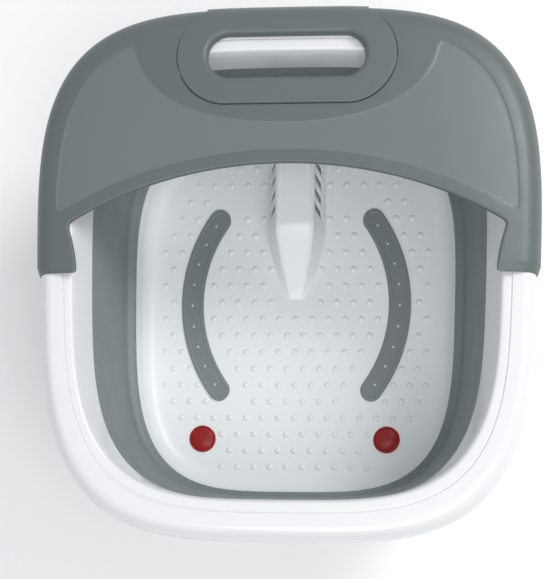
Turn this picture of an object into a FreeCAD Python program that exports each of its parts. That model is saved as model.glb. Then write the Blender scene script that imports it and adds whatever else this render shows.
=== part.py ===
"""Collapsible foot spa basin.

Millimetres. +Z is up and the ground is z = 0. +X is to the right and +Y points to the toe end,
where the splash guard and the carry handle are. The origin is on the ground, under the middle of
the whole object's box. The basin is modelled expanded. The frame (rim, skirt, splash guard) slides
down by COLLAPSE_TRAVEL to collapse it, and the soft wall folds between the frame and the footbed.

A "plan" is the half width and half length of a rounded-square outline. A "level" is an outline's
half width, half length and height.
"""

import FreeCAD, Part
import math
import os

Vector = FreeCAD.Vector

# ---- driving dimensions ------------------------------------------------------------------------
SQUARENESS = 3.7            # exponent of the rounded-square outline
FRONT_TAPER = 0.035         # how much narrower the outline is at the heel end
OUTLINE_POINTS = 48

RIM = (195.0, 204.0)            # outside of the rim
RIM_TOP = 206.0
RIM_ROLL_DROP = 18.0            # from the rim's top to its parting line
RIM_ROLL_WIDTH = 12.0           # from the rim's outside to its highest line
RIM_GROOVE = (174.0, 180.5)     # fine groove between the rim's roll and its flat strip
RIM_MOUTH = (166.5, 171.5)      # inner edge of the flat strip
SKIRT_FOOT = (158.0, 171.0)     # lower inner edge of the rim's inner skirt
SKIRT_FOOT_Z = 175.0
RIM_WALL = 2.4

FRAME_SKIRT_PROUD = 0.8         # how far the lower skirt stands out at the parting line
FRAME_SKIRT_DRAFT = 3.3
FRAME_SKIRT_Z = 140.0
FRAME_SKIRT_WALL = 2.2
FRAME_PLATE_WIDTH = 24.0        # ledge under the frame that holds the frame screws

BASE = (180.0, 189.0)           # outside of the base shell
BASE_BOTTOM = 5.0
BASE_SHOULDER = 44.0
BASE_WALL = 2.5
BASE_FLOOR = 3.0
BASE_MOUTH = (150.0, 167.0)     # opening in the base's shoulder

TUB = (143.5, 160.5)            # footbed wall, inside, at its upper edge
TUB_TOP = 84.0
TUB_WALL = 2.5
TUB_FLOOR = 50.0
TUB_FLOOR_THICKNESS = 2.5
TUB_CORNER = 14.0               # radius between the footbed's floor and wall
TUB_FLANGE = (158.0, 175.0)
GASKET_THICKNESS = 1.0

BELLOWS_WALL = 1.8
LIP_THICKNESS = 1.2             # soft wall's lip inside the footbed's edge
LIP_DEPTH = 8.0
BELLOWS_TOP = 187.0
COLLAPSE_TRAVEL = 90.0          # the frame's slide; the record states it as the joint's range

GUARD_PROUD = 3.0               # splash guard outside the rim
GUARD_WALL = 2.4
GUARD_TOP = 214.0
GUARD_EDGE_Z = 188.4
GUARD_END_Y = 3.5
GUARD_LIP_HALF_CHORD = 169.5
GUARD_LIP_CHORD_Y = 40.5
GUARD_LIP_RISE = 44.2
GUARD_WING_INNER_X = 162.8

HANDLE_Y = 166.5                # middle of the carry hole
HANDLE_HOLE = (118.0, 30.0)
BEZEL_SIZE = (167.0, 73.4)
BEZEL_BACK_HALF_WIDTH = 62.0    # where the bezel runs over the guard's back edge
BEZEL_PROUD = 1.2

RIDGE_TOP = 88.0
RIDGE_WALL = 2.0
STRIP_RADIUS = 130.0            # centre line of a bubble strip
STRIP_HALF_ANGLE = 36.0
STRIP_WIDTH = 20.0
STRIP_HEIGHT = 2.2
STRIP_OUT_X = 94.0
STRIP_Y = 12.0
LENS_X = 83.0
LENS_Y = -109.0
LENS_RADIUS = 11.0
LENS_EDGE = 0.9                 # height of the lens at its edge, above the floor
LENS_DOME = 2.3                 # rise of the dome above that
LENS_STEM_Z = 43.0

NUB_PITCH = 15.0
NUB_RADIUS = 2.4
NUB_HEIGHT = 1.3

RUN_GAP = 0.05                  # radial clearance of a turning or sliding fit

ORIGIN_SHIFT_Y = -1.7           # puts the origin under the middle of the whole box


# ---- outlines and basic solids -----------------------------------------------------------------
def outline_point(plan, angle, z):
    """Point of a rounded-square outline in the direction of angle (radians)."""
    cos_a, sin_a = math.cos(angle), math.sin(angle)
    power = abs(cos_a / plan[0]) ** SQUARENESS + abs(sin_a / plan[1]) ** SQUARENESS
    radius = power ** (-1.0 / SQUARENESS)
    x, y = radius * cos_a, radius * sin_a
    if y < 0:
        x *= 1.0 - FRONT_TAPER * (y / plan[1]) ** 2
    return Vector(x, y, z)


def outline_edge(half_width, half_length, z):
    """Closed smooth edge of a rounded-square outline at height z."""
    points = []
    for i in range(OUTLINE_POINTS):
        angle = math.pi / 2 + 2 * math.pi * i / OUTLINE_POINTS
        points.append(outline_point((half_width, half_length), angle, z))
    curve = Part.BSplineCurve()
    curve.interpolate(points, PeriodicFlag=True)
    return curve.toShape()


def ring(levels):
    """Solid ring whose cross-section is the closed loop of levels."""
    edges = [outline_edge(*level) for level in levels]
    faces = []
    for first, second in zip(edges, edges[1:] + edges[:1]):
        faces.append(Part.makeRuledSurface(first, second))
    shape = Part.makeCompound(faces)
    shape.sewShape()
    solid = Part.Solid(shape.Shells[0])
    if solid.Volume < 0:
        solid.reverse()
    return solid


def stack(levels):
    """Solid through the levels, flat at both ends."""
    wires = [Part.Wire([outline_edge(*level)]) for level in levels]
    return Part.makeLoft(wires, True, True)


def grown(plan, offset, z):
    """Level of a plan grown outwards by offset."""
    return (plan[0] + offset, plan[1] + offset, z)


def cylinder(radius, low, high, x=0.0, y=0.0):
    return Part.makeCylinder(radius, high - low, Vector(x, y, low))


def lying_cylinder(radius, start, end):
    """Cylinder between two points."""
    axis = end - start
    return Part.makeCylinder(radius, axis.Length, start, axis)


def block(low, high):
    size = [b - a for a, b in zip(low, high)]
    return Part.makeBox(size[0], size[1], size[2], Vector(*low))


def tube_between(radius_out, radius_in, low, high, x=0.0, y=0.0):
    return cylinder(radius_out, low, high, x, y).cut(cylinder(radius_in, low, high, x, y))


def pipe(points, radius, inner_radius=0.0):
    """Round tube or wire along a smooth line through points."""
    curve = Part.BSplineCurve()
    curve.interpolate([Vector(*p) for p in points])
    spine = Part.Wire([curve.toShape()])
    start = curve.value(curve.FirstParameter)
    direction = curve.tangent(curve.FirstParameter)[0]
    outer = spine.makePipeShell([Part.Wire([Part.makeCircle(radius, start, direction)])], True, False)
    if inner_radius:
        bore_wire = Part.Wire([Part.makeCircle(inner_radius, start, direction)])
        outer = outer.cut(spine.makePipeShell([bore_wire], True, False))
    return outer


def obround(length, width, low, high, y):
    """Upright slot-shaped prism along X."""
    half = (length - width) / 2
    shape = block((-half, y - width / 2, low), (half, y + width / 2, high))
    for x in (-half, half):
        shape = shape.fuse(cylinder(width / 2, low, high, x, y))
    return shape.removeSplitter()


def mirrored(shape):
    return shape.mirror(Vector(0, 0, 0), Vector(1, 0, 0))


def group(shapes):
    """Several separate solids kept in one node."""
    solids = []
    for shape in shapes:
        solids.extend(shape.Solids)
    return Part.makeCompound(solids)


def roll_levels(plan, width, low, high, wall, steps=6):
    """Quarter-ellipse levels from the outside at low to the crest at high, moved in by wall."""
    levels = []
    for i in range(steps + 1):
        angle = math.pi / 2 * i / steps
        inward = wall + (width - wall) * (1 - math.cos(angle))
        levels.append(grown(plan, -inward, low + (high - wall - low) * math.sin(angle)))
    return levels


def skirt_level(z, offset):
    """Level of the rim's inner skirt at height z, grown outwards from its inner face by offset."""
    share = (z - SKIRT_FOOT_Z) / (RIM_TOP - 6.0 - SKIRT_FOOT_Z)
    plan = [foot + share * (mouth - 1.0 - foot) for foot, mouth in zip(SKIRT_FOOT, RIM_MOUTH)]
    return grown(plan, offset, z)


def places_on_outline(plan, offset, angles):
    """Plan positions at the given angles (degrees), offset from the outline."""
    grown_plan = (plan[0] + offset, plan[1] + offset)
    return [outline_point(grown_plan, math.radians(a), 0.0) for a in angles]


# ---- frame: rim, skirt, clamp ring, guard ---------------------------------------------------------
PARTING_Z = RIM_TOP - RIM_ROLL_DROP
FRAME_SCREW_ANGLES = (20, 60, 120, 160, 200, 235, 305, 340)
FRAME_SCREW_OFFSET = -15.0
FRAME_SCREW_RADIUS = 1.75
GUARD_SCREW_ANGLES = (22, 52, 128, 158)
GUARD_SCREW_PLAN = (172.3, 177.6)
GUARD_SCREW_RADIUS = 1.5


def frame_screw_places():
    return places_on_outline(RIM, FRAME_SCREW_OFFSET, FRAME_SCREW_ANGLES)


def guard_screw_places():
    return places_on_outline(GUARD_SCREW_PLAN, 0.0, GUARD_SCREW_ANGLES)


def rim_cap():
    """White rim: rolled outside, fine groove, flat strip and inner skirt, with screw bosses."""
    groove = RIM_GROOVE
    outside = [grown(RIM, 0.0, PARTING_Z + 0.1)]
    outside += roll_levels(RIM, RIM_ROLL_WIDTH, PARTING_Z, RIM_TOP, 0.0)[1:]
    top = [
        grown(groove, 1.0, RIM_TOP - 1.2),
        grown(groove, 0.0, RIM_TOP - 1.9),
        grown(groove, -0.8, RIM_TOP - 1.4),
        grown(RIM_MOUTH, 1.5, RIM_TOP - 2.0),
        grown(RIM_MOUTH, 0.0, RIM_TOP - 3.2),
        grown(RIM_MOUTH, -1.0, RIM_TOP - 6.0),
        grown(SKIRT_FOOT, 0.0, SKIRT_FOOT_Z),
    ]
    underside = [
        grown(SKIRT_FOOT, RIM_WALL, SKIRT_FOOT_Z),
        grown(RIM_MOUTH, -1.0 + RIM_WALL, RIM_TOP - 6.0),
        grown(RIM_MOUTH, 3.0, RIM_TOP - 4.4),
        grown(groove, 0.0, RIM_TOP - 4.2),
    ]
    inside_roll = roll_levels(RIM, RIM_ROLL_WIDTH, PARTING_Z, RIM_TOP, RIM_WALL)
    inside_roll = [grown(RIM, -RIM_WALL, PARTING_Z + 0.1)] + inside_roll[1:]
    shape = ring(outside + top + underside + inside_roll[::-1])
    boss_low = FRAME_SKIRT_Z + FRAME_SKIRT_WALL + 0.1
    bosses = [cylinder(4.0, boss_low, RIM_TOP - 1.6, p.x, p.y) for p in frame_screw_places()]
    shape = shape.fuse(bosses)
    pilots = [
        cylinder(FRAME_SCREW_RADIUS + RUN_GAP, boss_low - 1, boss_low + 16, p.x, p.y)
        for p in frame_screw_places()
    ]
    pilots += [
        cylinder(GUARD_SCREW_RADIUS + RUN_GAP, RIM_TOP - 12, RIM_TOP + 5, p.x, p.y)
        for p in guard_screw_places()
    ]
    return shape.cut(pilots)


def frame_skirt():
    """White lower skirt of the frame with its inward ledge."""
    low, high = FRAME_SKIRT_Z, PARTING_Z
    foot = FRAME_SKIRT_PROUD - FRAME_SKIRT_DRAFT
    shape = ring([
        grown(RIM, FRAME_SKIRT_PROUD, high),
        grown(RIM, foot + 0.6, low + 4),
        grown(RIM, foot, low),
        grown(RIM, foot - FRAME_PLATE_WIDTH, low),
        grown(RIM, foot - FRAME_PLATE_WIDTH, low + FRAME_SKIRT_WALL),
        grown(RIM, foot + 0.3 - FRAME_SKIRT_WALL, low + FRAME_SKIRT_WALL),
        grown(RIM, FRAME_SKIRT_PROUD - FRAME_SKIRT_WALL, high),
    ])
    holes = [
        cylinder(FRAME_SCREW_RADIUS + 0.25, low - 1, low + 5, p.x, p.y) for p in frame_screw_places()
    ]
    return shape.cut(holes)


def frame_screws():
    """Screws from below the frame's ledge into the rim's bosses."""
    screws = []
    for p in frame_screw_places():
        head = cylinder(3.4, FRAME_SKIRT_Z - 2.0, FRAME_SKIRT_Z, p.x, p.y)
        shank = cylinder(FRAME_SCREW_RADIUS, FRAME_SKIRT_Z - 1, FRAME_SKIRT_Z + 15, p.x, p.y)
        screws.append(head.fuse(shank))
    return group(screws)


def upper_clamp_ring():
    """Ring that holds the soft wall's upper cuff against the rim's inner skirt."""
    low, high = SKIRT_FOOT_Z + 2, BELLOWS_TOP - 1
    inside, outside = RIM_WALL + BELLOWS_WALL + 0.3, RIM_WALL + BELLOWS_WALL + 3.1
    return ring([
        skirt_level(low, inside),
        skirt_level(high, inside),
        skirt_level(high, outside),
        skirt_level(low, outside),
    ])


def guard_levels(extra, wall):
    """Outside of the guard's pillow form grown by extra, or its inside when wall is taken off."""
    plan = (RIM[0] + GUARD_PROUD + extra, RIM[1] + GUARD_PROUD + extra)
    crest = GUARD_TOP - 4.0 + extra
    levels = [grown(plan, -wall, GUARD_EDGE_Z)]
    levels += roll_levels(plan, 19.0, GUARD_EDGE_Z + 2.0, crest, wall)
    levels.append(grown(RIM, -38.0, GUARD_TOP - 1.5 + extra - wall))
    levels.append(grown(RIM, -80.0, GUARD_TOP + extra - wall))
    return levels


def guard_region():
    """Upright prism over the toe half, bounded in front by the lip arc and the two side wings."""
    side, back = 260.0, 260.0
    chord_x, chord_y = GUARD_LIP_HALF_CHORD, GUARD_LIP_CHORD_Y
    wing_x = GUARD_WING_INNER_X
    left = [Vector(-chord_x, chord_y, 0), Vector(-wing_x, GUARD_END_Y, 0), Vector(-side, GUARD_END_Y, 0)]
    right = [Vector(-p.x, p.y, 0) for p in left]
    lip = Part.Arc(left[0], Vector(0, chord_y + GUARD_LIP_RISE, 0), right[0]).toShape()
    around = right + [Vector(side, back, 0), Vector(-side, back, 0)] + left[::-1]
    edges = [lip] + [Part.makeLine(a, b) for a, b in zip(around, around[1:])]
    return Part.Face(Part.Wire(edges)).extrude(Vector(0, 0, 300))


def bezel_region(extra):
    """Upright prism with the bezel's outline: round-ended, and straight over the guard's back edge."""
    low, high = 150.0, 260.0
    oval = obround(BEZEL_SIZE[0] + 2 * extra, BEZEL_SIZE[1] + 2 * extra, low, high, HANDLE_Y)
    half = BEZEL_BACK_HALF_WIDTH + extra
    return oval.fuse(block((-half, HANDLE_Y, low), (half, RIM[1] + 20, high))).removeSplitter()


def splash_guard():
    """Grey cover over the rim and the toe half of the basin."""
    shell = stack(guard_levels(0.0, 0.0)).cut(stack(guard_levels(0.0, GUARD_WALL)))
    shell = shell.common(guard_region()).cut(bezel_region(0.3))
    bosses = [cylinder(3.2, RIM_TOP - 0.9, GUARD_TOP - 3.2, p.x, p.y) for p in guard_screw_places()]
    shell = shell.fuse(bosses)
    pilots = [
        cylinder(GUARD_SCREW_RADIUS + RUN_GAP, RIM_TOP - 3, RIM_TOP + 4, p.x, p.y)
        for p in guard_screw_places()
    ]
    return shell.cut(pilots)


def guard_screws():
    """Screws from under the rim's strip up into the guard's bosses."""
    screws = []
    for p in guard_screw_places():
        head = cylinder(2.6, RIM_TOP - 6.6, RIM_TOP - 4.8, p.x, p.y)
        shank = cylinder(GUARD_SCREW_RADIUS, RIM_TOP - 6, RIM_TOP + 3, p.x, p.y)
        screws.append(head.fuse(shank))
    return group(screws)


def handle_bezel():
    """Oval grip insert around the carry hole, standing slightly proud of the guard."""
    shell = stack(guard_levels(BEZEL_PROUD, 0.0)).cut(stack(guard_levels(0.0, GUARD_WALL)))
    shell = shell.common(bezel_region(0.0))
    return shell.cut(obround(*HANDLE_HOLE, 150.0, 260.0, HANDLE_Y))


# ---- soft wall and its lower clamp -------------------------------------------------------------------
def wall_level(share, offset):
    """Level on the soft wall's sloping stretch: share 0 is above the footbed, 1 is under the frame."""
    low, high = (149.0, 164.0, TUB_TOP + 6), (SKIRT_FOOT[0] - 0.6, SKIRT_FOOT[1] - 0.6, SKIRT_FOOT_Z - 16)
    plan = [a + share * (b - a) for a, b in zip(low, high)]
    return grown(plan[:2], offset, plan[2])


def bellows():
    """Soft folding wall: lip over the footbed's edge, lower cuff, wall, upper cuff."""
    tub_out = (TUB[0] + TUB_WALL, TUB[1] + TUB_WALL)
    gap, wall = 0.1, BELLOWS_WALL
    inner = [
        skirt_level(BELLOWS_TOP, RIM_WALL + gap),
        skirt_level(SKIRT_FOOT_Z, RIM_WALL + gap),
        grown(SKIRT_FOOT, 1.0, SKIRT_FOOT_Z - 3),
        grown(SKIRT_FOOT, -0.6, SKIRT_FOOT_Z - 16),
        wall_level(0.25, 0.0),
        wall_level(0.0, 0.0),
        (147.4, 162.6, TUB_TOP + 2.6),
        grown(TUB, 0.6, TUB_TOP + 2.4),
        grown(TUB, -LIP_THICKNESS, TUB_TOP + 0.6),
        grown(TUB, -LIP_THICKNESS, TUB_TOP - LIP_DEPTH + 0.4),
        grown(TUB, -gap, TUB_TOP - LIP_DEPTH + 0.4),
        grown(TUB, -gap, TUB_TOP + gap),
        grown(tub_out, gap, TUB_TOP + gap),
        grown(tub_out, gap, TUB_FLOOR - 2.8),
    ]
    outer = [
        grown(tub_out, wall, TUB_FLOOR - 2.8),
        grown(tub_out, wall, TUB_TOP - 3),
        wall_level(0.0, wall),
        wall_level(0.25, wall),
        grown(SKIRT_FOOT, wall - 0.6, SKIRT_FOOT_Z - 16),
        grown(SKIRT_FOOT, wall + 1.0, SKIRT_FOOT_Z - 3),
        skirt_level(SKIRT_FOOT_Z, RIM_WALL + gap + wall),
        skirt_level(BELLOWS_TOP, RIM_WALL + gap + wall),
    ]
    return ring(inner + outer)


def lower_clamp_ring():
    """Ring that clamps the soft wall's lower cuff around the footbed."""
    inside = TUB_WALL + BELLOWS_WALL + 0.1
    low, high = TUB_FLOOR - 1.0, TUB_FLOOR + 7.0
    return ring([
        grown(TUB, inside, low),
        grown(TUB, inside + 3.0, low),
        grown(TUB, inside + 3.0, high),
        grown(TUB, inside, high),
    ])


# ---- base: shell, feet, screws --------------------------------------------------------------------
BOSS_PLACES = [(x, y) for x in (-112.0, 112.0) for y in (-120.0, 120.0)] + [(-128.0, 12.0), (128.0, 12.0)]
BASE_SCREW_RADIUS = 1.9
BUTTON_Z = 25.0
BUTTON_RADIUS = 9.0
BUTTON_TRAVEL = 1.2
BEZEL_RING_RADIUS = 13.0
INLET_X = -70.0
INLET_Z = 25.0
INLET_HALF = (14.0, 9.0)
INLET_GAP = 0.1
PIN_RADIUS = 1.18
PIN_HALF_PITCH = 4.3
FOOT_PLACES = [(x, y) for x in (-125.0, 125.0) for y in (-135.0, 135.0)]
FOOT_RADIUS = 12.0


def base_shell():
    """Outer tray of the base with its rounded shoulder, vents, button hole and inlet hole."""
    outside = [
        grown(BASE, -9.0, BASE_BOTTOM),
        grown(BASE, -4.0, BASE_BOTTOM + 1.5),
        grown(BASE, -1.5, BASE_BOTTOM + 5),
        grown(BASE, 0.0, BASE_BOTTOM + 12),
        grown(BASE, 0.0, BASE_SHOULDER - 7),
        grown(BASE, -2.0, BASE_SHOULDER - 2),
        grown(BASE, -7.0, BASE_SHOULDER),
    ]
    inside = [
        grown(BASE, -9.0 - BASE_WALL, BASE_BOTTOM + BASE_FLOOR),
        grown(BASE, -1.5 - BASE_WALL, BASE_BOTTOM + BASE_FLOOR + 4),
        grown(BASE, -BASE_WALL, BASE_BOTTOM + 14),
        grown(BASE, -BASE_WALL, BASE_SHOULDER - 8),
        grown(BASE, -2.0 - BASE_WALL, BASE_SHOULDER - BASE_WALL - 2),
        grown(BASE, -8.0 - BASE_WALL, BASE_SHOULDER - BASE_WALL),
    ]
    shape = stack(outside).cut(stack(inside))
    shape = shape.cut(stack([(*BASE_MOUTH, BASE_SHOULDER - 6), (*BASE_MOUTH, BASE_SHOULDER + 4)]))
    boss_high = BASE_BOTTOM + 8
    bosses = [cylinder(5.0, BASE_BOTTOM + 1, boss_high, x, y) for x, y in BOSS_PLACES]
    shape = shape.fuse(bosses)
    cuts = []
    for x, y in BOSS_PLACES:
        cuts.append(cylinder(BASE_SCREW_RADIUS + 0.25, 0, boss_high + 1, x, y))
        cuts.append(cylinder(3.8, 0, BASE_BOTTOM + 2.5, x, y))
    for x, y in FOOT_PLACES:
        cuts.append(cylinder(3.0 + RUN_GAP, 0, BASE_BOTTOM + BASE_FLOOR + 1, x, y))
    for i in range(-3, 4):
        cuts.append(block((-22, BLOWER_Y + 8 * i - 1.5, 0), (22, BLOWER_Y + 8 * i + 1.5, BASE_BOTTOM + 4)))
    front = Vector(0, -BASE[1] - 5, BUTTON_Z)
    cuts.append(lying_cylinder(BEZEL_RING_RADIUS - 2 + RUN_GAP, front, front + Vector(0, 20, 0)))
    half_width, half_height = INLET_HALF[0] + INLET_GAP, INLET_HALF[1] + INLET_GAP
    low = (INLET_X - half_width, BASE[1] - 20, INLET_Z - half_height)
    high = (INLET_X + half_width, BASE[1] + 5, INLET_Z + half_height)
    cuts.append(block(low, high))
    return shape.cut(cuts)


def rubber_feet():
    """Soft feet with a stud pushed into the base."""
    feet = []
    for x, y in FOOT_PLACES:
        pad = Part.makeCone(FOOT_RADIUS, FOOT_RADIUS - 1.5, BASE_BOTTOM, Vector(x, y, 0))
        stud = cylinder(3.0, BASE_BOTTOM - 1, BASE_BOTTOM + BASE_FLOOR + 0.5, x, y)
        cap = cylinder(4.0, BASE_BOTTOM + BASE_FLOOR + 0.1, BASE_BOTTOM + BASE_FLOOR + 2, x, y)
        feet.append(pad.fuse([stud, cap]))
    return group(feet)


def base_screws():
    """Screws from below the base into the footbed's bosses."""
    screws = []
    for x, y in BOSS_PLACES:
        head = cylinder(3.5, BASE_BOTTOM + 0.3, BASE_BOTTOM + 2.5, x, y)
        shank = cylinder(BASE_SCREW_RADIUS, BASE_BOTTOM + 2, BASE_BOTTOM + 22, x, y)
        screws.append(head.fuse(shank))
    return group(screws)


def tub_gasket():
    """Flat seal between the base's shoulder and the footbed's flange."""
    low, high = BASE_SHOULDER, BASE_SHOULDER + GASKET_THICKNESS
    outer, inner = -1.0, -6.0
    return ring([
        grown(TUB_FLANGE, outer, low),
        grown(TUB_FLANGE, outer, high),
        grown(TUB_FLANGE, inner, high),
        grown(TUB_FLANGE, inner, low),
    ])


# ---- footbed and what sits on it --------------------------------------------------------------------
RIDGE_FRONT_Y = 18.0
RIDGE_SHOULDER_Y = 78.0
RIDGE_BACK_Y = 143.0
RIDGE_HALF_FOOT = 23.5
RIDGE_HALF_TOP = 14.5
SLOT_COUNT = 5
SLOT_PITCH = 13.7
SLOT_FIRST_Y = 82.0
SPIGOT_RADIUS = 4.0
SPIGOT_LOW = 40.0
CHANNEL_WIDTH = 5.0
CHANNEL_DEPTH = 1.0
LENS_STEM_RADIUS = 8.5


def tub_cavity_levels():
    """Inside of the footbed: rounded corner, drafted wall, and a rebate for the soft wall's lip."""
    levels = []
    steps = 5
    low_plan = (TUB[0] - 2.5, TUB[1] - 2.5)
    for i in range(steps + 1):
        angle = math.pi / 2 * i / steps
        inward = TUB_CORNER * (1 - math.sin(angle))
        levels.append(grown(low_plan, -inward, TUB_FLOOR + TUB_CORNER * (1 - math.cos(angle))))
    levels.append(grown(TUB, -LIP_THICKNESS - 0.1, TUB_TOP - LIP_DEPTH))
    levels.append(grown(TUB, 0.0, TUB_TOP - LIP_DEPTH + 0.2))
    levels.append(grown(TUB, 0.0, TUB_TOP + 1))
    return levels


def covered_by_fitting(x, y):
    """True where a nub would sit under the ridge, a bubble strip or a lens."""
    half_ridge = RIDGE_HALF_FOOT + 3 if y > 55 else 18.0
    if abs(x) < half_ridge and y > RIDGE_FRONT_Y - 6:
        return True
    from_strip = math.hypot(abs(x) - STRIP_OUT_X + STRIP_RADIUS, y - STRIP_Y)
    strip_reach = STRIP_RADIUS * math.sin(math.radians(STRIP_HALF_ANGLE)) + STRIP_WIDTH
    if abs(from_strip - STRIP_RADIUS) < STRIP_WIDTH / 2 + 3.5 and abs(y - STRIP_Y) < strip_reach:
        return True
    return math.hypot(abs(x) - LENS_X, y - LENS_Y) < LENS_RADIUS + 5


def nub_places():
    """Staggered grid of massage nubs on the flat of the floor."""
    flat = (TUB[0] - 2.5 - TUB_CORNER - 3, TUB[1] - 2.5 - TUB_CORNER - 3)
    places = []
    rows = int(flat[1] // NUB_PITCH)
    columns = int(flat[0] // NUB_PITCH) + 1
    for row in range(-rows, rows + 1):
        y = row * NUB_PITCH
        stagger = NUB_PITCH / 2 if row % 2 else 0.0
        for column in range(-columns, columns + 1):
            x = column * NUB_PITCH + stagger
            edge = outline_point(flat, math.atan2(y, x), 0.0)
            if math.hypot(x, y) < math.hypot(edge.x, edge.y) and not covered_by_fitting(x, y):
                places.append((x, y))
    return places


def footbed():
    """White tub: flange, upright wall and nubbed floor, with bosses below."""
    outer = TUB_WALL
    low = BASE_SHOULDER + GASKET_THICKNESS
    body = stack([grown(TUB, outer, low), grown(TUB, outer, TUB_TOP)])
    flange = stack([grown(TUB_FLANGE, 0.0, low), grown(TUB_FLANGE, 0.0, low + 2.0)])
    body = body.fuse(flange)
    body = body.cut(stack(tub_cavity_levels()))
    floor_low = TUB_FLOOR - TUB_FLOOR_THICKNESS
    body = body.cut(stack([grown(TUB, -2.5, low - 1), grown(TUB, -2.5, floor_low)]))
    bosses = [cylinder(4.5, BASE_BOTTOM + 8.1, TUB_FLOOR - 1, x, y) for x, y in BOSS_PLACES]
    nubs = [
        Part.makeCone(NUB_RADIUS, NUB_RADIUS * 0.55, NUB_HEIGHT + 0.5, Vector(x, y, TUB_FLOOR - 0.5))
        for x, y in nub_places()
    ]
    body = body.fuse(bosses + nubs)
    cuts = [cylinder(BASE_SCREW_RADIUS + RUN_GAP, 0, BASE_BOTTOM + 24, x, y) for x, y in BOSS_PLACES]
    for side in (-1, 1):
        cuts.append(cylinder(SPIGOT_RADIUS + 0.1, 40, TUB_FLOOR + 1, side * STRIP_OUT_X, STRIP_Y))
        cuts.append(cylinder(LENS_STEM_RADIUS + 0.1, 40, TUB_FLOOR + 1, side * LENS_X, LENS_Y))
    return body.cut(cuts)


def ridge_section(y, half_foot, half_top, top, inset=0.0):
    """Upright cross-section of the ridge: sloping sides and rounded upper corners."""
    foot, shoulder = half_foot - inset, half_top - inset
    low, high = TUB_FLOOR, top - inset
    radius = min(5.0 - inset, (high - low) * 0.4, shoulder * 0.8)
    left = [Vector(-foot, y, low), Vector(-shoulder, y, high - radius), Vector(-shoulder + radius, y, high)]
    right = [Vector(-p.x, p.y, p.z) for p in left]
    middle = radius * (1 - math.sqrt(0.5))
    left_mid = Vector(-shoulder + middle, y, high - middle)
    right_mid = Vector(shoulder - middle, y, high - middle)
    return Part.Wire([
        Part.makeLine(left[0], left[1]),
        Part.Arc(left[1], left_mid, left[2]).toShape(),
        Part.makeLine(left[2], right[2]),
        Part.Arc(right[2], right_mid, right[1]).toShape(),
        Part.makeLine(right[1], right[0]),
        Part.makeLine(right[0], left[0]),
    ])


def ridge_form(inset):
    """Solid form of the ridge, or of the hollow inside it."""
    stations = [
        (RIDGE_BACK_Y - inset, RIDGE_HALF_FOOT, RIDGE_HALF_TOP, RIDGE_TOP),
        (RIDGE_SHOULDER_Y + 4, RIDGE_HALF_FOOT, RIDGE_HALF_TOP, RIDGE_TOP),
        (RIDGE_SHOULDER_Y - 4, RIDGE_HALF_FOOT - 1, RIDGE_HALF_TOP - 1.5, RIDGE_TOP - 4),
        (RIDGE_SHOULDER_Y - 16, RIDGE_HALF_FOOT - 4, RIDGE_HALF_TOP - 3.5, RIDGE_TOP - 13),
        (RIDGE_FRONT_Y + 22, RIDGE_HALF_FOOT - 9, RIDGE_HALF_TOP - 5, RIDGE_TOP - 26),
    ]
    if not inset:
        stations.append((RIDGE_FRONT_Y + 8, RIDGE_HALF_FOOT - 12.5, RIDGE_HALF_TOP - 7, RIDGE_TOP - 34))
        stations.append((RIDGE_FRONT_Y, RIDGE_HALF_FOOT - 16, RIDGE_HALF_TOP - 9.5, RIDGE_TOP - 37))
    return Part.makeLoft([ridge_section(*station, inset) for station in stations], True, True)


def center_ridge():
    """Hollow cover between the feet with louvre slots in both sides."""
    shape = ridge_form(0.0).cut(ridge_form(RIDGE_WALL))
    slots = []
    for i in range(SLOT_COUNT):
        y = SLOT_FIRST_Y + SLOT_PITCH * i
        for side in (-1, 1):
            reach = sorted((side * 10.0, side * 30.0))
            slot = block((reach[0], y - 3.5, 65.0), (reach[1], y + 3.5, 78.0))
            slot.rotate(Vector(side * RIDGE_HALF_TOP, y, 72), Vector(1, 0, 0), 12.0)
            slots.append(slot)
    return shape.cut(slots)


def strip_band(width, low, high, half_angle):
    """Curved band with round ends on the left strip's centre line."""
    centre = Vector(STRIP_RADIUS - STRIP_OUT_X, STRIP_Y, low)
    half = math.radians(half_angle)

    def at(radius, angle):
        return centre + Vector(-radius * math.cos(angle), radius * math.sin(angle), 0)

    outer, inner = STRIP_RADIUS + width / 2, STRIP_RADIUS - width / 2
    tip = Vector(math.sin(half), math.cos(half), 0) * (width / 2)
    upper_tip = at(STRIP_RADIUS, half) + tip
    lower_tip = at(STRIP_RADIUS, -half) + Vector(tip.x, -tip.y, 0)
    edges = [
        Part.Arc(at(outer, -half), at(outer, 0), at(outer, half)).toShape(),
        Part.Arc(at(outer, half), upper_tip, at(inner, half)).toShape(),
        Part.Arc(at(inner, half), at(inner, 0), at(inner, -half)).toShape(),
        Part.Arc(at(inner, -half), lower_tip, at(outer, -half)).toShape(),
    ]
    return Part.Face(Part.Wire(edges)).extrude(Vector(0, 0, high - low))


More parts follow.
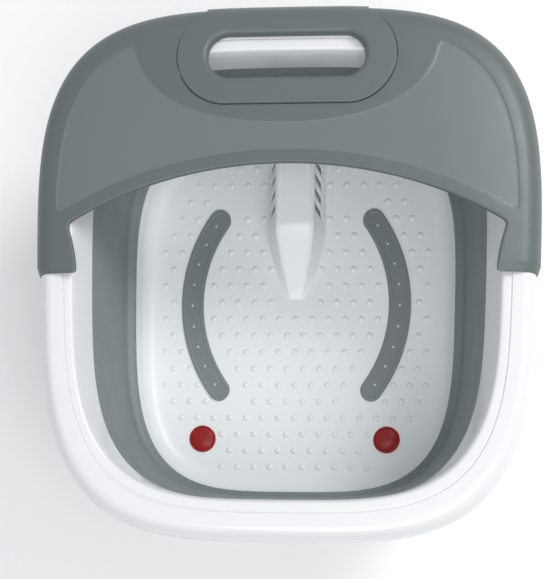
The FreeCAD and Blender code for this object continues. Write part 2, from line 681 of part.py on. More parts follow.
def bubble_strip_left():
    """Curved strip with a row of air holes, an air channel below and a spigot through the floor."""
    top, channel_top = TUB_FLOOR + STRIP_HEIGHT, TUB_FLOOR + CHANNEL_DEPTH
    shape = strip_band(STRIP_WIDTH, TUB_FLOOR, top, STRIP_HALF_ANGLE)
    upper_edges = [e for e in shape.Edges if e.BoundBox.ZMin > top - 0.01]
    shape = shape.makeChamfer(0.8, upper_edges)
    shape = shape.fuse(cylinder(SPIGOT_RADIUS, SPIGOT_LOW, channel_top + 0.2, -STRIP_OUT_X, STRIP_Y))
    shape = shape.cut(strip_band(CHANNEL_WIDTH, TUB_FLOOR - 0.5, channel_top, STRIP_HALF_ANGLE - 1))
    cuts = [cylinder(2.0, SPIGOT_LOW - 1, TUB_FLOOR, -STRIP_OUT_X, STRIP_Y)]
    hole_count = 9
    for i in range(hole_count):
        angle = math.radians(STRIP_HALF_ANGLE - 2.5) * (2 * i / (hole_count - 1) - 1)
        x = STRIP_RADIUS - STRIP_OUT_X - STRIP_RADIUS * math.cos(angle)
        y = STRIP_Y + STRIP_RADIUS * math.sin(angle)
        cuts.append(cylinder(1.25, TUB_FLOOR + 0.5, top + 1, x, y))
    return shape.cut(cuts)


def light_lens_left():
    """Domed red window with a stem through the floor."""
    low, edge = TUB_FLOOR, TUB_FLOOR + LENS_EDGE
    sphere_radius = (LENS_RADIUS ** 2 + LENS_DOME ** 2) / (2 * LENS_DOME)
    dome = Part.makeSphere(sphere_radius, Vector(-LENS_X, LENS_Y, edge + LENS_DOME - sphere_radius))
    window = dome.common(cylinder(LENS_RADIUS, low, edge + LENS_DOME + 1, -LENS_X, LENS_Y))
    return window.fuse(cylinder(LENS_STEM_RADIUS, LENS_STEM_Z, low + 0.4, -LENS_X, LENS_Y))


def lens_seals():
    """Rubber rings around the lens stems, under the floor."""
    high = TUB_FLOOR - TUB_FLOOR_THICKNESS
    outer, inner = LENS_STEM_RADIUS + 2.5, LENS_STEM_RADIUS + RUN_GAP
    seals = [tube_between(outer, inner, high - 2.4, high, side * LENS_X, LENS_Y) for side in (-1, 1)]
    return group(seals)


def light_boards():
    """Small round boards with one lamp each, below the lenses."""
    boards = []
    for side in (-1, 1):
        x = side * LENS_X
        board = cylinder(10.0, 38.0, 39.6, x, LENS_Y)
        lamp = cylinder(2.5, 39.0, 41.5, x, LENS_Y)
        boards.append(board.fuse(lamp))
    return group(boards)


# ---- heater ----------------------------------------------------------------------------------------
HEATER_HALF = (62.0, 30.0)
HEATER_Y = -8.0
HEATER_TOP = TUB_FLOOR - TUB_FLOOR_THICKNESS
ELEMENT_RADIUS = 3.2
ELEMENT_Z = HEATER_TOP - 2.0 - ELEMENT_RADIUS


def heater_plate():
    """Metal plate pressed against the underside of the footbed."""
    low = (-HEATER_HALF[0], HEATER_Y - HEATER_HALF[1], HEATER_TOP - 2.0)
    return block(low, (HEATER_HALF[0], HEATER_Y + HEATER_HALF[1], HEATER_TOP))


def heating_element():
    """U-shaped sheathed heater rod under the plate."""
    half_gap, reach = 18.0, 36.0
    ends = (Vector(reach, HEATER_Y - half_gap, ELEMENT_Z), Vector(reach, HEATER_Y + half_gap, ELEMENT_Z))
    bend_start = Vector(-reach + half_gap, HEATER_Y - half_gap, ELEMENT_Z)
    bend_end = Vector(-reach + half_gap, HEATER_Y + half_gap, ELEMENT_Z)
    bend_mid = Vector(-reach, HEATER_Y, ELEMENT_Z)
    spine = Part.Wire([
        Part.makeLine(ends[0], bend_start),
        Part.Arc(bend_start, bend_mid, bend_end).toShape(),
        Part.makeLine(bend_end, ends[1]),
    ])
    circle = Part.Wire([Part.makeCircle(ELEMENT_RADIUS, ends[0], Vector(-1, 0, 0))])
    return spine.makePipeShell([circle], True, False)


def thermostat():
    """Disc thermostat on the heater plate with two tabs."""
    top = HEATER_TOP - 2.0
    body = cylinder(8.0, top - 7.0, top, 0, HEATER_Y)
    tabs = [block((x - 1.5, HEATER_Y - 0.4, top - 13), (x + 1.5, HEATER_Y + 0.4, top - 6)) for x in (-4, 4)]
    return body.fuse(tabs)


def thermal_fuse():
    """One-shot fuse beside the thermostat."""
    z = HEATER_TOP - 2.0 - 2.0
    return lying_cylinder(2.0, Vector(16, HEATER_Y, z), Vector(30, HEATER_Y, z))


# ---- air: blower, manifold, tubes ---------------------------------------------------------------------
BLOWER_Y = 118.0
BLOWER_RADIUS = 44.0
BLOWER_LOW = BASE_BOTTOM + BASE_FLOOR
BLOWER_HIGH = 38.0
BLOWER_MOTOR_HIGH = 21.0
SHAFT_RADIUS = 1.5
SPOUT_Z = 26.0
SPOUT_RADIUS = 7.0
SPOUT_FRONT_Y = 66.0
AIR_TUBE_RADIUS = 5.6
AIR_TUBE_BORE = SPIGOT_RADIUS + 0.3


def blower_housing():
    """Round fan case open at the top, with inlet slots in its floor and a spout at the front."""
    shape = cylinder(BLOWER_RADIUS, BLOWER_LOW, BLOWER_HIGH, 0, BLOWER_Y)
    spout_back = Vector(0, BLOWER_Y - BLOWER_RADIUS + 6, SPOUT_Z)
    spout_front = Vector(0, SPOUT_FRONT_Y, SPOUT_Z)
    shape = shape.fuse(lying_cylinder(SPOUT_RADIUS, spout_back, spout_front))
    shape = shape.cut(cylinder(BLOWER_RADIUS - 2, BLOWER_LOW + 2, BLOWER_HIGH + 1, 0, BLOWER_Y))
    bore_back, bore_front = spout_back + Vector(0, 4, 0), spout_front - Vector(0, 1, 0)
    shape = shape.cut(lying_cylinder(SPOUT_RADIUS - 1.5, bore_back, bore_front))
    inlets = []
    for i in range(8):
        inlet = block((24, BLOWER_Y - 2, 0), (36, BLOWER_Y + 2, BLOWER_LOW + 3))
        inlet.rotate(Vector(0, BLOWER_Y, 0), Vector(0, 0, 1), 45.0 * i + 22.5)
        inlets.append(inlet)
    return shape.cut(inlets)


def blower_lid():
    """Flat lid of the fan case."""
    return cylinder(BLOWER_RADIUS, BLOWER_HIGH, BLOWER_HIGH + 2, 0, BLOWER_Y)


def blower_motor():
    """Flat motor on the fan case's floor, bored for the impeller's shaft."""
    shape = cylinder(17.0, BLOWER_LOW + 2, BLOWER_MOTOR_HIGH, 0, BLOWER_Y)
    return shape.cut(cylinder(SHAFT_RADIUS + RUN_GAP, BLOWER_LOW + 5, BLOWER_MOTOR_HIGH + 1, 0, BLOWER_Y))


def impeller_shaft():
    return cylinder(SHAFT_RADIUS, BLOWER_LOW + 6, BLOWER_HIGH - 3, 0, BLOWER_Y)


def blower_impeller():
    """Back plate, hub and curved blades."""
    low, high = BLOWER_MOTOR_HIGH + 1, BLOWER_HIGH - 2
    shape = cylinder(38.0, low, low + 1.6, 0, BLOWER_Y).fuse(cylinder(6.0, low, high - 2, 0, BLOWER_Y))
    blade_count = 9
    for i in range(blade_count):
        blade = tube_between(30.0, 28.8, low + 1, high, 30.0, BLOWER_Y)
        blade = blade.common(block((5.5, BLOWER_Y, low), (37.0, BLOWER_Y + 26, high)))
        blade.rotate(Vector(0, BLOWER_Y, 0), Vector(0, 0, 1), 360.0 * i / blade_count)
        shape = shape.fuse(blade)
    keep = cylinder(37.9, low, high, 0, BLOWER_Y)
    shape = shape.common(keep)
    return shape.cut(cylinder(SHAFT_RADIUS + 0.02, low - 1, high + 1, 0, BLOWER_Y))


def air_manifold():
    """Cross tube that splits the blower's air between the two strips."""
    y = SPOUT_FRONT_Y - 9
    end = 20.0
    socket_back = SPOUT_FRONT_Y + 5

    def at(x, along=y):
        return Vector(x, along, SPOUT_Z)

    shape = lying_cylinder(SPOUT_RADIUS, at(-end), at(end))
    shape = shape.fuse(lying_cylinder(SPOUT_RADIUS + 1.6, at(0), at(0, socket_back)))
    shape = shape.fuse([lying_cylinder(SPIGOT_RADIUS, at(s * (end - 1)), at(s * (end + 9))) for s in (-1, 1)])
    bore = lying_cylinder(2.2, at(-end - 10), at(end + 10))
    inner = lying_cylinder(SPOUT_RADIUS - 1.5, at(-end + 2), at(end - 2))
    socket = lying_cylinder(SPOUT_RADIUS + RUN_GAP, at(0, SPOUT_FRONT_Y - 1), at(0, socket_back + 1))
    passage = lying_cylinder(SPOUT_RADIUS - 2.0, at(0), at(0, SPOUT_FRONT_Y))
    return shape.cut([bore, inner, socket, passage])


def air_tube_left():
    """Soft tube from the manifold's nipple to the strip's spigot."""
    y = SPOUT_FRONT_Y - 9
    points = [
        (-21.5, y, SPOUT_Z), (-31, y, SPOUT_Z), (-50, y - 5, SPOUT_Z - 1), (-72, y - 19, SPOUT_Z - 3),
        (-STRIP_OUT_X + 4, STRIP_Y + 14, SPOUT_Z - 1), (-STRIP_OUT_X, STRIP_Y + 1, SPOUT_Z + 8),
        (-STRIP_OUT_X, STRIP_Y, SPOUT_Z + 15), (-STRIP_OUT_X, STRIP_Y, TUB_FLOOR - 3.5),
    ]
    return pipe(points, AIR_TUBE_RADIUS, AIR_TUBE_BORE)


# ---- vibration motor ------------------------------------------------------------------------------
VIBRATION_Y = -78.0
VIBRATION_Z = 25.0
VIBRATION_RADIUS = 12.0
VIBRATION_HALF = 18.0


def vibration_motor():
    """Motor can lying across the basin, bored for its shaft."""
    end = Vector(VIBRATION_HALF, VIBRATION_Y, VIBRATION_Z)
    shape = lying_cylinder(VIBRATION_RADIUS, Vector(-VIBRATION_HALF, VIBRATION_Y, VIBRATION_Z), end)
    bore_start = Vector(VIBRATION_HALF - 14, VIBRATION_Y, VIBRATION_Z)
    return shape.cut(lying_cylinder(SHAFT_RADIUS + RUN_GAP, bore_start, end + Vector(1, 0, 0)))


def vibration_bracket():
    """Saddle on the base's floor with a strap over the motor."""
    low = BASE_BOTTOM + BASE_FLOOR
    shape = block((-10, VIBRATION_Y - 17, low), (10, VIBRATION_Y + 17, VIBRATION_Z))
    strap_start = Vector(-10, VIBRATION_Y, VIBRATION_Z)
    strap = lying_cylinder(VIBRATION_RADIUS + 3, strap_start, strap_start + Vector(20, 0, 0))
    shape = shape.fuse(strap)
    start = Vector(-11, VIBRATION_Y, VIBRATION_Z)
    return shape.cut(lying_cylinder(VIBRATION_RADIUS + RUN_GAP, start, start + Vector(22, 0, 0)))


def vibration_shaft():
    start = Vector(VIBRATION_HALF - 13, VIBRATION_Y, VIBRATION_Z)
    return lying_cylinder(SHAFT_RADIUS, start, Vector(VIBRATION_HALF + 13, VIBRATION_Y, VIBRATION_Z))


def eccentric_weight():
    """Half disc that shakes the footbed as it turns."""
    start = Vector(VIBRATION_HALF + 3, VIBRATION_Y, VIBRATION_Z)
    shape = lying_cylinder(11.0, start, start + Vector(9, 0, 0))
    cut_low = (start.x - 1, VIBRATION_Y - 12, VIBRATION_Z + 3)
    shape = shape.cut(block(cut_low, (start.x + 10, VIBRATION_Y + 12, VIBRATION_Z + 13)))
    return shape.cut(lying_cylinder(SHAFT_RADIUS + 0.02, start - Vector(1, 0, 0), start + Vector(11, 0, 0)))


# ---- control: board, switch, button, inlet, wires ---------------------------------------------------
BOARD_Y = -BASE[1] + 22.0
BOARD_HALF_WIDTH = 40.0
BOARD_LOW = BASE_BOTTOM + BASE_FLOOR + 2
BOARD_HIGH = 40.0
BUTTON_FACE_Y = -BASE[1] - 2.2
WIRE_RADIUS = 1.3


def control_board():
    """Upright circuit board behind the button."""
    low = (-BOARD_HALF_WIDTH, BOARD_Y, BOARD_LOW)
    return block(low, (BOARD_HALF_WIDTH, BOARD_Y + 1.6, BOARD_HIGH))


def board_components():
    """Transformer, relay and capacitor on the back of the board."""
    back = BOARD_Y + 1.6
    parts = [
        block((-34, back, 12), (-10, back + 18, 32)),
        block((4, back, 14), (20, back + 14, 26)),
        lying_cylinder(5.0, Vector(30, back, 24), Vector(30, back + 16, 24)),
    ]
    return group(parts)


def push_switch():
    """Switch on the front of the board with a soft plunger."""
    body = block((-6, BOARD_Y - 4, BUTTON_Z - 6), (6, BOARD_Y, BUTTON_Z + 6))
    plunger = lying_cylinder(2.0, Vector(0, BOARD_Y - 6, BUTTON_Z), Vector(0, BOARD_Y - 3, BUTTON_Z))
    return body.fuse(plunger)


def button_bezel():
    """Ring pushed into the base's front wall around the button."""
    face = BUTTON_FACE_Y + 0.2
    seat = -BASE[1] - 0.1
    sleeve_end = -BASE[1] + 8
    front = Vector(0, face, BUTTON_Z)
    rim = lying_cylinder(BEZEL_RING_RADIUS, front, Vector(0, seat, BUTTON_Z))
    sleeve = lying_cylinder(BEZEL_RING_RADIUS - 2, front, Vector(0, sleeve_end, BUTTON_Z))
    bore = lying_cylinder(BUTTON_RADIUS + 0.1, front - Vector(0, 1, 0), Vector(0, sleeve_end + 1, BUTTON_Z))
    return rim.fuse(sleeve).cut(bore)


def button_cap():
    """Round push button with a stem towards the switch."""
    face = BUTTON_FACE_Y - 0.8
    cap = lying_cylinder(BUTTON_RADIUS, Vector(0, face, BUTTON_Z), Vector(0, face + 6, BUTTON_Z))
    front_edge = [e for e in cap.Edges if e.BoundBox.YMax < face + 0.01]
    cap = cap.makeFillet(0.8, front_edge)
    stem_end = BOARD_Y - 6 - BUTTON_TRAVEL - 0.1
    return cap.fuse(lying_cylinder(2.5, Vector(0, face + 5, BUTTON_Z), Vector(0, stem_end, BUTTON_Z)))


def button_spring():
    """Coil spring around the button's stem that pushes the cap out."""
    start = Vector(0, BUTTON_FACE_Y + 6.4, BUTTON_Z)
    length = 7.0
    helix = Part.makeHelix(1.6, length, 5.0)
    wire_radius = 0.4
    circle = Part.Wire([Part.makeCircle(wire_radius, Vector(5.0, 0, 0), Vector(0, 1, 0))])
    coil = helix.makePipeShell([circle], True, True)
    coil.rotate(Vector(0, 0, 0), Vector(1, 0, 0), -90)
    return coil.translated(start)


def pin_rods(radius, start_y, end_y):
    """Two parallel rods at the inlet's pin places."""
    rods = []
    for x in (INLET_X - PIN_HALF_PITCH, INLET_X + PIN_HALF_PITCH):
        rods.append(lying_cylinder(radius, Vector(x, start_y, INLET_Z), Vector(x, end_y, INLET_Z)))
    return rods


def power_inlet():
    """Appliance inlet block in the base's back wall."""
    y_out = BASE[1] - 1.0
    half_width, half_height = INLET_HALF
    low = (INLET_X - half_width, y_out - 18, INLET_Z - half_height)
    shape = block(low, (INLET_X + half_width, y_out, INLET_Z + half_height))
    lip = 4.0
    recess_low = (INLET_X - half_width + lip, y_out - 12, INLET_Z - half_height + lip)
    recess = block(recess_low, (INLET_X + half_width - lip, y_out + 1, INLET_Z + half_height - lip))
    return shape.cut([recess] + pin_rods(PIN_RADIUS + 0.02, y_out - 19, y_out - 11))


def inlet_pins():
    """Contact pins inside the inlet."""
    y_out = BASE[1] - 1.0
    return group(pin_rods(PIN_RADIUS, y_out - 20, y_out - 3))


def wire_harness():
    """Insulated wires from the board to each electric part."""
    back = BOARD_Y + 3.4
    run_z, under_tube_z = 17.0, 13.5
    motor_y, heater_y = VIBRATION_Y - VIBRATION_RADIUS - 1.6, HEATER_Y - 17.0
    to_lamps = [(38, back, 36), (58, back + 20, 35), (72, LENS_Y - 14, 34.5), (LENS_X, LENS_Y, 36)]
    to_inlet = [
        (-37, back, run_z), (-46, -130, run_z), (-54, -85, run_z), (-60, -30, run_z),
        (-70, 20, under_tube_z), (-77, 60, under_tube_z), (-78, 115, run_z), (-74, 150, 19),
        (INLET_X, 166, 22),
    ]
    to_blower = [
        (26, back, run_z), (34, -130, run_z), (38, -90, run_z), (40, -40, run_z), (40, 10, run_z),
        (46, 50, run_z), (48, 80, run_z), (46, 100, run_z),
    ]
    to_vibration = [(2, back, 35), (0, -140, 33), (-6, -115, 28), (-14, motor_y, VIBRATION_Z)]
    to_heater = [(24, back, 35), (34, -130, 33), (42, -80, 32), (44, -45, 34), (38.5, heater_y, 40)]
    mirrored_lamps = [(-x, y, z) for x, y, z in to_lamps]
    routes = [to_lamps, mirrored_lamps, to_inlet, to_blower, to_vibration, to_heater]
    return group([pipe(route, WIRE_RADIUS) for route in routes])


# ---- export ------------------------------------------------------------------------------------------
def nodes():
    """Every node's name and shape."""
    left_strip = bubble_strip_left()
    left_lens = light_lens_left()
    left_tube = air_tube_left()
    return {
        "rim_cap": rim_cap(),
        "frame_skirt": frame_skirt(),
        "frame_screws": frame_screws(),
        "upper_clamp_ring": upper_clamp_ring(),
        "splash_guard": splash_guard(),
        "guard_screws": guard_screws(),
        "handle_bezel": handle_bezel(),
        "bellows": bellows(),
        "lower_clamp_ring": lower_clamp_ring(),
        "base_shell": base_shell(),
        "rubber_feet": rubber_feet(),
        "base_screws": base_screws(),
        "tub_gasket": tub_gasket(),
        "footbed": footbed(),
        "center_ridge": center_ridge(),
        "bubble_strip_left": left_strip,
        "bubble_strip_right": mirrored(left_strip),
        "light_lens_left": left_lens,
        "light_lens_right": mirrored(left_lens),
        "lens_seals": lens_seals(),
        "light_boards": light_boards(),
        "heater_plate": heater_plate(),
        "heating_element": heating_element(),
        "thermostat": thermostat(),
        "thermal_fuse": thermal_fuse(),
        "blower_housing": blower_housing(),
        "blower_lid": blower_lid(),
        "blower_motor": blower_motor(),
        "impeller_shaft": impeller_shaft(),
        "blower_impeller": blower_impeller(),
        "air_manifold": air_manifold(),
        "air_tube_left": left_tube,
        "air_tube_right": mirrored(left_tube),
        "vibration_motor": vibration_motor(),
        "vibration_bracket": vibration_bracket(),
        "vibration_shaft": vibration_shaft(),
        "eccentric_weight": eccentric_weight(),
        "control_board": control_board(),
        "board_components": board_components(),
        "push_switch": push_switch(),
        "button_bezel": button_bezel(),
        "button_cap": button_cap(),
        "button_spring": button_spring(),
        "power_inlet": power_inlet(),
        "inlet_pins": inlet_pins(),
        "wire_harness": wire_harness(),
    }


def main():
    os.makedirs("parts", exist_ok=True)
    for name, shape in nodes().items():
        placed = shape.translated(Vector(0, ORIGIN_SHIFT_Y, 0))
        placed.exportStep(f"parts/{name}.step")


main()
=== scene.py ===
"""Foot spa basin: the looks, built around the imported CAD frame.

The frame is in metres, +Z up. Sizes below are written in millimetres around the basin's middle, and
the function that makes a piece turns them into metres in the frame's place. A "plan" is the half
width and half length of a rounded-square outline. A "level" is (half width, half length, z), with the
profile's corner radius after it where the corner is still to be rounded.
"""

import math

import bmesh
import bpy
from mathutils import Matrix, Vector


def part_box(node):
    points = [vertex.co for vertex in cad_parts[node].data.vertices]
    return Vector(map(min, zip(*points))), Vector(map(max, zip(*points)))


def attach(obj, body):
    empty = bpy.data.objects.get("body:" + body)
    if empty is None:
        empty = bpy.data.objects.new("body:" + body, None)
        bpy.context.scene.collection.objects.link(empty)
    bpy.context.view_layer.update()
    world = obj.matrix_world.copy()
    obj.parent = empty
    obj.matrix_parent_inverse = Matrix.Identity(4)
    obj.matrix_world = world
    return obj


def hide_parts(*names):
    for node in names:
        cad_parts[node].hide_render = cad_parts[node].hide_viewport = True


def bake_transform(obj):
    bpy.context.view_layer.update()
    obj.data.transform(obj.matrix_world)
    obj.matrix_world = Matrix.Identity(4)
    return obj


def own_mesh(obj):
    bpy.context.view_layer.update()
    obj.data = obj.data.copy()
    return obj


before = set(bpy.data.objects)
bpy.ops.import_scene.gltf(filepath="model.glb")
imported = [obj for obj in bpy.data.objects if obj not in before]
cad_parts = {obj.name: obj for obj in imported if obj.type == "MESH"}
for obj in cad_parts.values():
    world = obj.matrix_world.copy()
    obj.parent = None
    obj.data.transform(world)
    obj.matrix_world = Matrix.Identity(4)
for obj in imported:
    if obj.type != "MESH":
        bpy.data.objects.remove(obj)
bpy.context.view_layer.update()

MM = 0.001
AROUND = 288                  # points around a rounded-square outline
SHARP_ANGLE = math.radians(38)


def box_mm(node):
    """Lowest and highest corner of a CAD node in millimetres."""
    low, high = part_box(node)
    return low / MM, high / MM


# ---- sizes taken from the frame ----
RIM_LOW, RIM_HIGH = box_mm("rim_cap")
CENTRE_Y = (RIM_LOW.y + RIM_HIGH.y) / 2
RIM = ((RIM_HIGH.x - RIM_LOW.x) / 2, (RIM_HIGH.y - RIM_LOW.y) / 2)
RIM_TOP = RIM_HIGH.z
SKIRT_LOW, SKIRT_HIGH = box_mm("frame_skirt")
PARTING_Z = SKIRT_HIGH.z
FRAME_SKIRT_Z = SKIRT_LOW.z
BASE_LOW, BASE_HIGH = box_mm("base_shell")
BASE = ((BASE_HIGH.x - BASE_LOW.x) / 2, (BASE_HIGH.y - BASE_LOW.y) / 2)
BASE_BOTTOM, BASE_SHOULDER = BASE_LOW.z, BASE_HIGH.z
GUARD_LOW, GUARD_HIGH = box_mm("splash_guard")
GUARD_EDGE_Z, GUARD_TOP = GUARD_LOW.z, GUARD_HIGH.z
GUARD_PROUD = GUARD_HIGH.x - RIM[0]
BUTTON_FACE_Y = box_mm("button_cap")[0].y - CENTRE_Y

# ---- sizes shared by several pieces ----
SQUARENESS = 3.7
FRONT_TAPER = 0.035
RIM_GROOVE = (174.0, 180.5)
RIM_MOUTH = (166.5, 171.5)
SKIRT_FOOT = (158.0, 171.0)
SKIRT_FOOT_Z = 175.0
RIM_WALL = 2.4
TUB = (143.5, 160.5)
TUB_TOP = 84.0
TUB_FLOOR = 50.0
TUB_CORNER = 14.0
TUB_WALL = 2.5
SCREW_PLACES = [(x, y) for x in (-112.0, 112.0) for y in (-120.0, 120.0)]
SCREW_PLACES += [(x, 12.0) for x in (-128.0, 128.0)]
BUTTON_Z = 25.0
INLET_X = -70.0
INLET_Z = 25.0


# ---- outlines and levels ----
def on_outline(plan, angle, z=0.0):
    """Point of a rounded-square outline in the direction of angle (radians)."""
    cos_a, sin_a = math.cos(angle), math.sin(angle)
    power = abs(cos_a / plan[0]) ** SQUARENESS + abs(sin_a / plan[1]) ** SQUARENESS
    radius = power ** (-1.0 / SQUARENESS)
    x, y = radius * cos_a, radius * sin_a
    if y < 0:
        x *= 1.0 - FRONT_TAPER * (y / plan[1]) ** 2
    return Vector((x, y, z))


def grown(plan, offset, z, radius=0.0):
    """Level of a plan grown outwards by offset, with the corner radius the profile has there."""
    return (plan[0] + offset, plan[1] + offset, z, radius)


def rounded(levels, closed=True, steps=5):
    """Profile through the levels with each corner rounded by its own radius."""
    points, last = [], len(levels) - 1
    longest = 0.48                # share of a side that one corner's rounding may take
    for i, (*level, radius) in enumerate(levels):
        here = Vector(level)
        if radius == 0 or (not closed and i in (0, last)):
            points.append(here)
            continue
        to_before = Vector(levels[i - 1][:3]) - here
        to_after = Vector(levels[(i + 1) % len(levels)][:3]) - here
        start = here + to_before * min(radius / to_before.length, longest)
        end = here + to_after * min(radius / to_after.length, longest)
        for k in range(steps + 1):
            t = k / steps
            points.append(start * (1 - t) ** 2 + here * (2 * t * (1 - t)) + end * t * t)
    return points


def quarter_roll(plan, width, low, high, steps=14):
    """Quarter-ellipse levels from the plan at low up to the crest at high, width further in."""
    levels = []
    for i in range(steps + 1):
        angle = math.pi / 2 * i / steps
        levels.append(grown(plan, -width * (1 - math.cos(angle)), low + (high - low) * math.sin(angle)))
    return levels


# ---- vertices and faces ----
def tube_faces(rows, around, closed=False):
    """Four-sided faces between neighbouring rows of points, with around points in each row."""
    faces = []
    for i in range(rows if closed else rows - 1):
        j = (i + 1) % rows
        for k in range(around):
            m = (k + 1) % around
            faces.append((i * around + k, i * around + m, j * around + m, j * around + k))
    return faces


def end_faces(rows, around):
    """The two faces that close the first and the last row."""
    last = (rows - 1) * around
    return [tuple(range(around)), tuple(range(last, last + around))]


def on_levels(levels):
    """Points of the outlines at the levels, AROUND in each."""
    angles = [math.tau * k / AROUND for k in range(AROUND)]
    return [on_outline(level[:2], angle, level[2]) for level in levels for angle in angles]


def ring(levels):
    """Vertices and faces of the ring whose cross-section is the closed loop of levels."""
    return on_levels(levels), tube_faces(len(levels), AROUND, closed=True)


def stack(levels):
    """Vertices and faces of the solid through the levels, flat at both ends."""
    return on_levels(levels), tube_faces(len(levels), AROUND) + end_faces(len(levels), AROUND)


def lathe(profile, centre, axis="z", count=48):
    """Vertices and faces of a turned solid: profile is (radius, height) from one end to the other."""
    vertices = []
    for radius, height in profile:
        for k in range(count):
            angle = math.tau * k / count
            u, v = radius * math.cos(angle), radius * math.sin(angle)
            offset = Vector((u, v, height)) if axis == "z" else Vector((u, height, v))
            vertices.append(Vector(centre) + offset)
    return vertices, tube_faces(len(profile), count) + end_faces(len(profile), count)


def prism(vertices):
    """Vertices and faces of a prism from its two outlines, one after the other."""
    around = len(vertices) // 2
    return vertices, end_faces(2, around) + tube_faces(2, around)


def rounded_bar(start, end, radius, height, count=12):
    """Upright prism with round ends at start and end."""
    start, end = Vector(start), Vector(end)
    vertices = []
    for lift in (0.0, height):
        for centre, turn in ((end, -math.pi / 2), (start, math.pi / 2)):
            for k in range(count + 1):
                angle = turn + math.pi * k / count
                vertices.append(centre + Vector((radius * math.cos(angle), radius * math.sin(angle), lift)))
    return prism(vertices)


def rounded_box(low, high, radius=2.0, count=6):
    """Box lying along Y with rounded corners in its XZ section."""
    left, right = low[0] + radius, high[0] - radius
    bottom, top = low[2] + radius, high[2] - radius
    vertices = []
    for y in (low[1], high[1]):
        for quarter, (x, z) in enumerate(((right, top), (left, top), (left, bottom), (right, bottom))):
            for k in range(count + 1):
                angle = math.pi / 2 * (quarter + k / count)
                vertices.append(Vector((x + radius * math.cos(angle), y, z + radius * math.sin(angle))))
    return prism(vertices)


def joined(parts):
    """One list of vertices and faces from several."""
    vertices, faces = [], []
    for part_vertices, part_faces in parts:
        start = len(vertices)
        vertices.extend(part_vertices)
        faces.extend(tuple(start + i for i in face) for face in part_faces)
    return vertices, faces


# ---- making pieces ----
def add_object(name, data):
    """New object in the scene; data is its mesh, light or camera, or None for an empty."""
    item = bpy.data.objects.new(name, data)
    bpy.context.scene.collection.objects.link(item)
    return item


def make_piece(name, shape, material):
    """Closed mesh from millimetre vertices and their faces, smooth except at sharp edges."""
    vertices, faces = shape
    mesh = bpy.data.meshes.new(name)
    mesh.from_pydata([(x * MM, (y + CENTRE_Y) * MM, z * MM) for x, y, z in vertices], [], faces)
    work = bmesh.new()
    work.from_mesh(mesh)
    bmesh.ops.remove_doubles(work, verts=work.verts, dist=0.002 * MM)
    bmesh.ops.recalc_face_normals(work, faces=work.faces)
    work.to_mesh(mesh)
    work.free()
    mesh.shade_smooth()
    mesh.set_sharp_from_angle(angle=SHARP_ANGLE)
    mesh.materials.append(material)
    return add_object(name, mesh)


def carve(piece, openings):
    """Cuts solid openings out of a piece."""
    cutter = make_piece("cutter", joined(openings), piece.data.materials[0])
    modifier = piece.modifiers.new("openings", "BOOLEAN")
    modifier.operation = "DIFFERENCE"
    modifier.solver = "EXACT"
    modifier.object = cutter
    bpy.context.view_layer.update()
    evaluated = piece.evaluated_get(bpy.context.evaluated_depsgraph_get())
    carved = bpy.data.meshes.new_from_object(evaluated)
    piece.modifiers.clear()
    piece.data = carved
    carved.set_sharp_from_angle(angle=SHARP_ANGLE)
    bpy.data.objects.remove(cutter)


def stands_for(piece, node, body):
    """Puts a piece on its body in place of its CAD node. A piece given no body is left unattached."""
    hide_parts(node)
    if body:
        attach(piece, body)


# ---- sheets cut along smooth lines ----
def cut_along(work, values, field, level):
    """Splits the grid's faces where field has the value level. values keeps each vertex's field value."""
    search_steps, close_enough = 6, 1e-3
    for edge in list(work.edges):
        first, second = edge.verts
        a, b = values[first] - level, values[second] - level
        if a == 0 or b == 0 or (a > 0) == (b > 0):
            continue
        low, high = 0.0, 1.0
        share = a / (a - b)
        for _ in range(search_steps):
            point = first.co.lerp(second.co, share)
            value = field(point.x, point.y) - level
            if (value > 0) == (a > 0):
                low = share
            else:
                high = share
            if abs(value) < close_enough:
                break
            share = (low + high) / 2
        _, vertex = bmesh.utils.edge_split(edge, first, share)
        values[vertex] = level
    for face in list(work.faces):
        on_line = [v for v in face.verts if values[v] == level]
        sides = {values[v] > level for v in face.verts if values[v] != level}
        if len(on_line) == 2 and len(sides) == 2:
            bmesh.utils.face_split(face, on_line[0], on_line[1])


def sheet(columns, rows, place, fields, keep, lift, under):
    """Vertices and faces of a closed sheet over a grid of two parameters.

    place gives the surface point and normal, fields is a list of (field, levels) to cut along, keep is
    positive where there is material, lift raises the top along the normal and under, a number or a
    function, is the distance of the underside below the surface.
    """
    on_line = 0.02                # a grid point this close to a line counts as on it
    work = bmesh.new()
    grid = [[work.verts.new((a, b, 0)) for b in rows] for a in columns]
    for i in range(len(columns) - 1):
        for j in range(len(rows) - 1):
            work.faces.new((grid[i][j], grid[i + 1][j], grid[i + 1][j + 1], grid[i][j + 1]))
    for field, levels in fields:
        for level in levels:
            values = {}
            for v in work.verts:
                value = field(v.co.x, v.co.y)
                values[v] = level if abs(value - level) < on_line else value
            cut_along(work, values, field, level)
    gone = [face for face in work.faces if keep(*face.calc_center_median().xy) < 0]
    bmesh.ops.delete(work, geom=gone, context="FACES")
    work.verts.index_update()
    top, bottom = [], []
    for v in work.verts:
        a, b = v.co.xy
        point, normal = place(a, b)
        top.append(point + normal * lift(a, b))
        bottom.append(point - normal * (under(a, b) if callable(under) else under))
    shift = len(top)
    faces = [tuple(v.index for v in face.verts) for face in work.faces]
    faces += [tuple(shift + i for i in reversed(face)) for face in faces]
    for edge in work.edges:
        if len(edge.link_faces) == 1:
            a, b = (v.index for v in edge.verts)
            faces.append((a, b, shift + b, shift + a))
    work.free()
    return top + bottom, faces


def surface_frame(position, a, b, step_a, step_b):
    """Point and unit normal of a surface given as position(a, b)."""
    along_a = position(a + step_a, b) - position(a - step_a, b)
    along_b = position(a, b + step_b) - position(a, b - step_b)
    return position(a, b), along_b.cross(along_a).normalized()


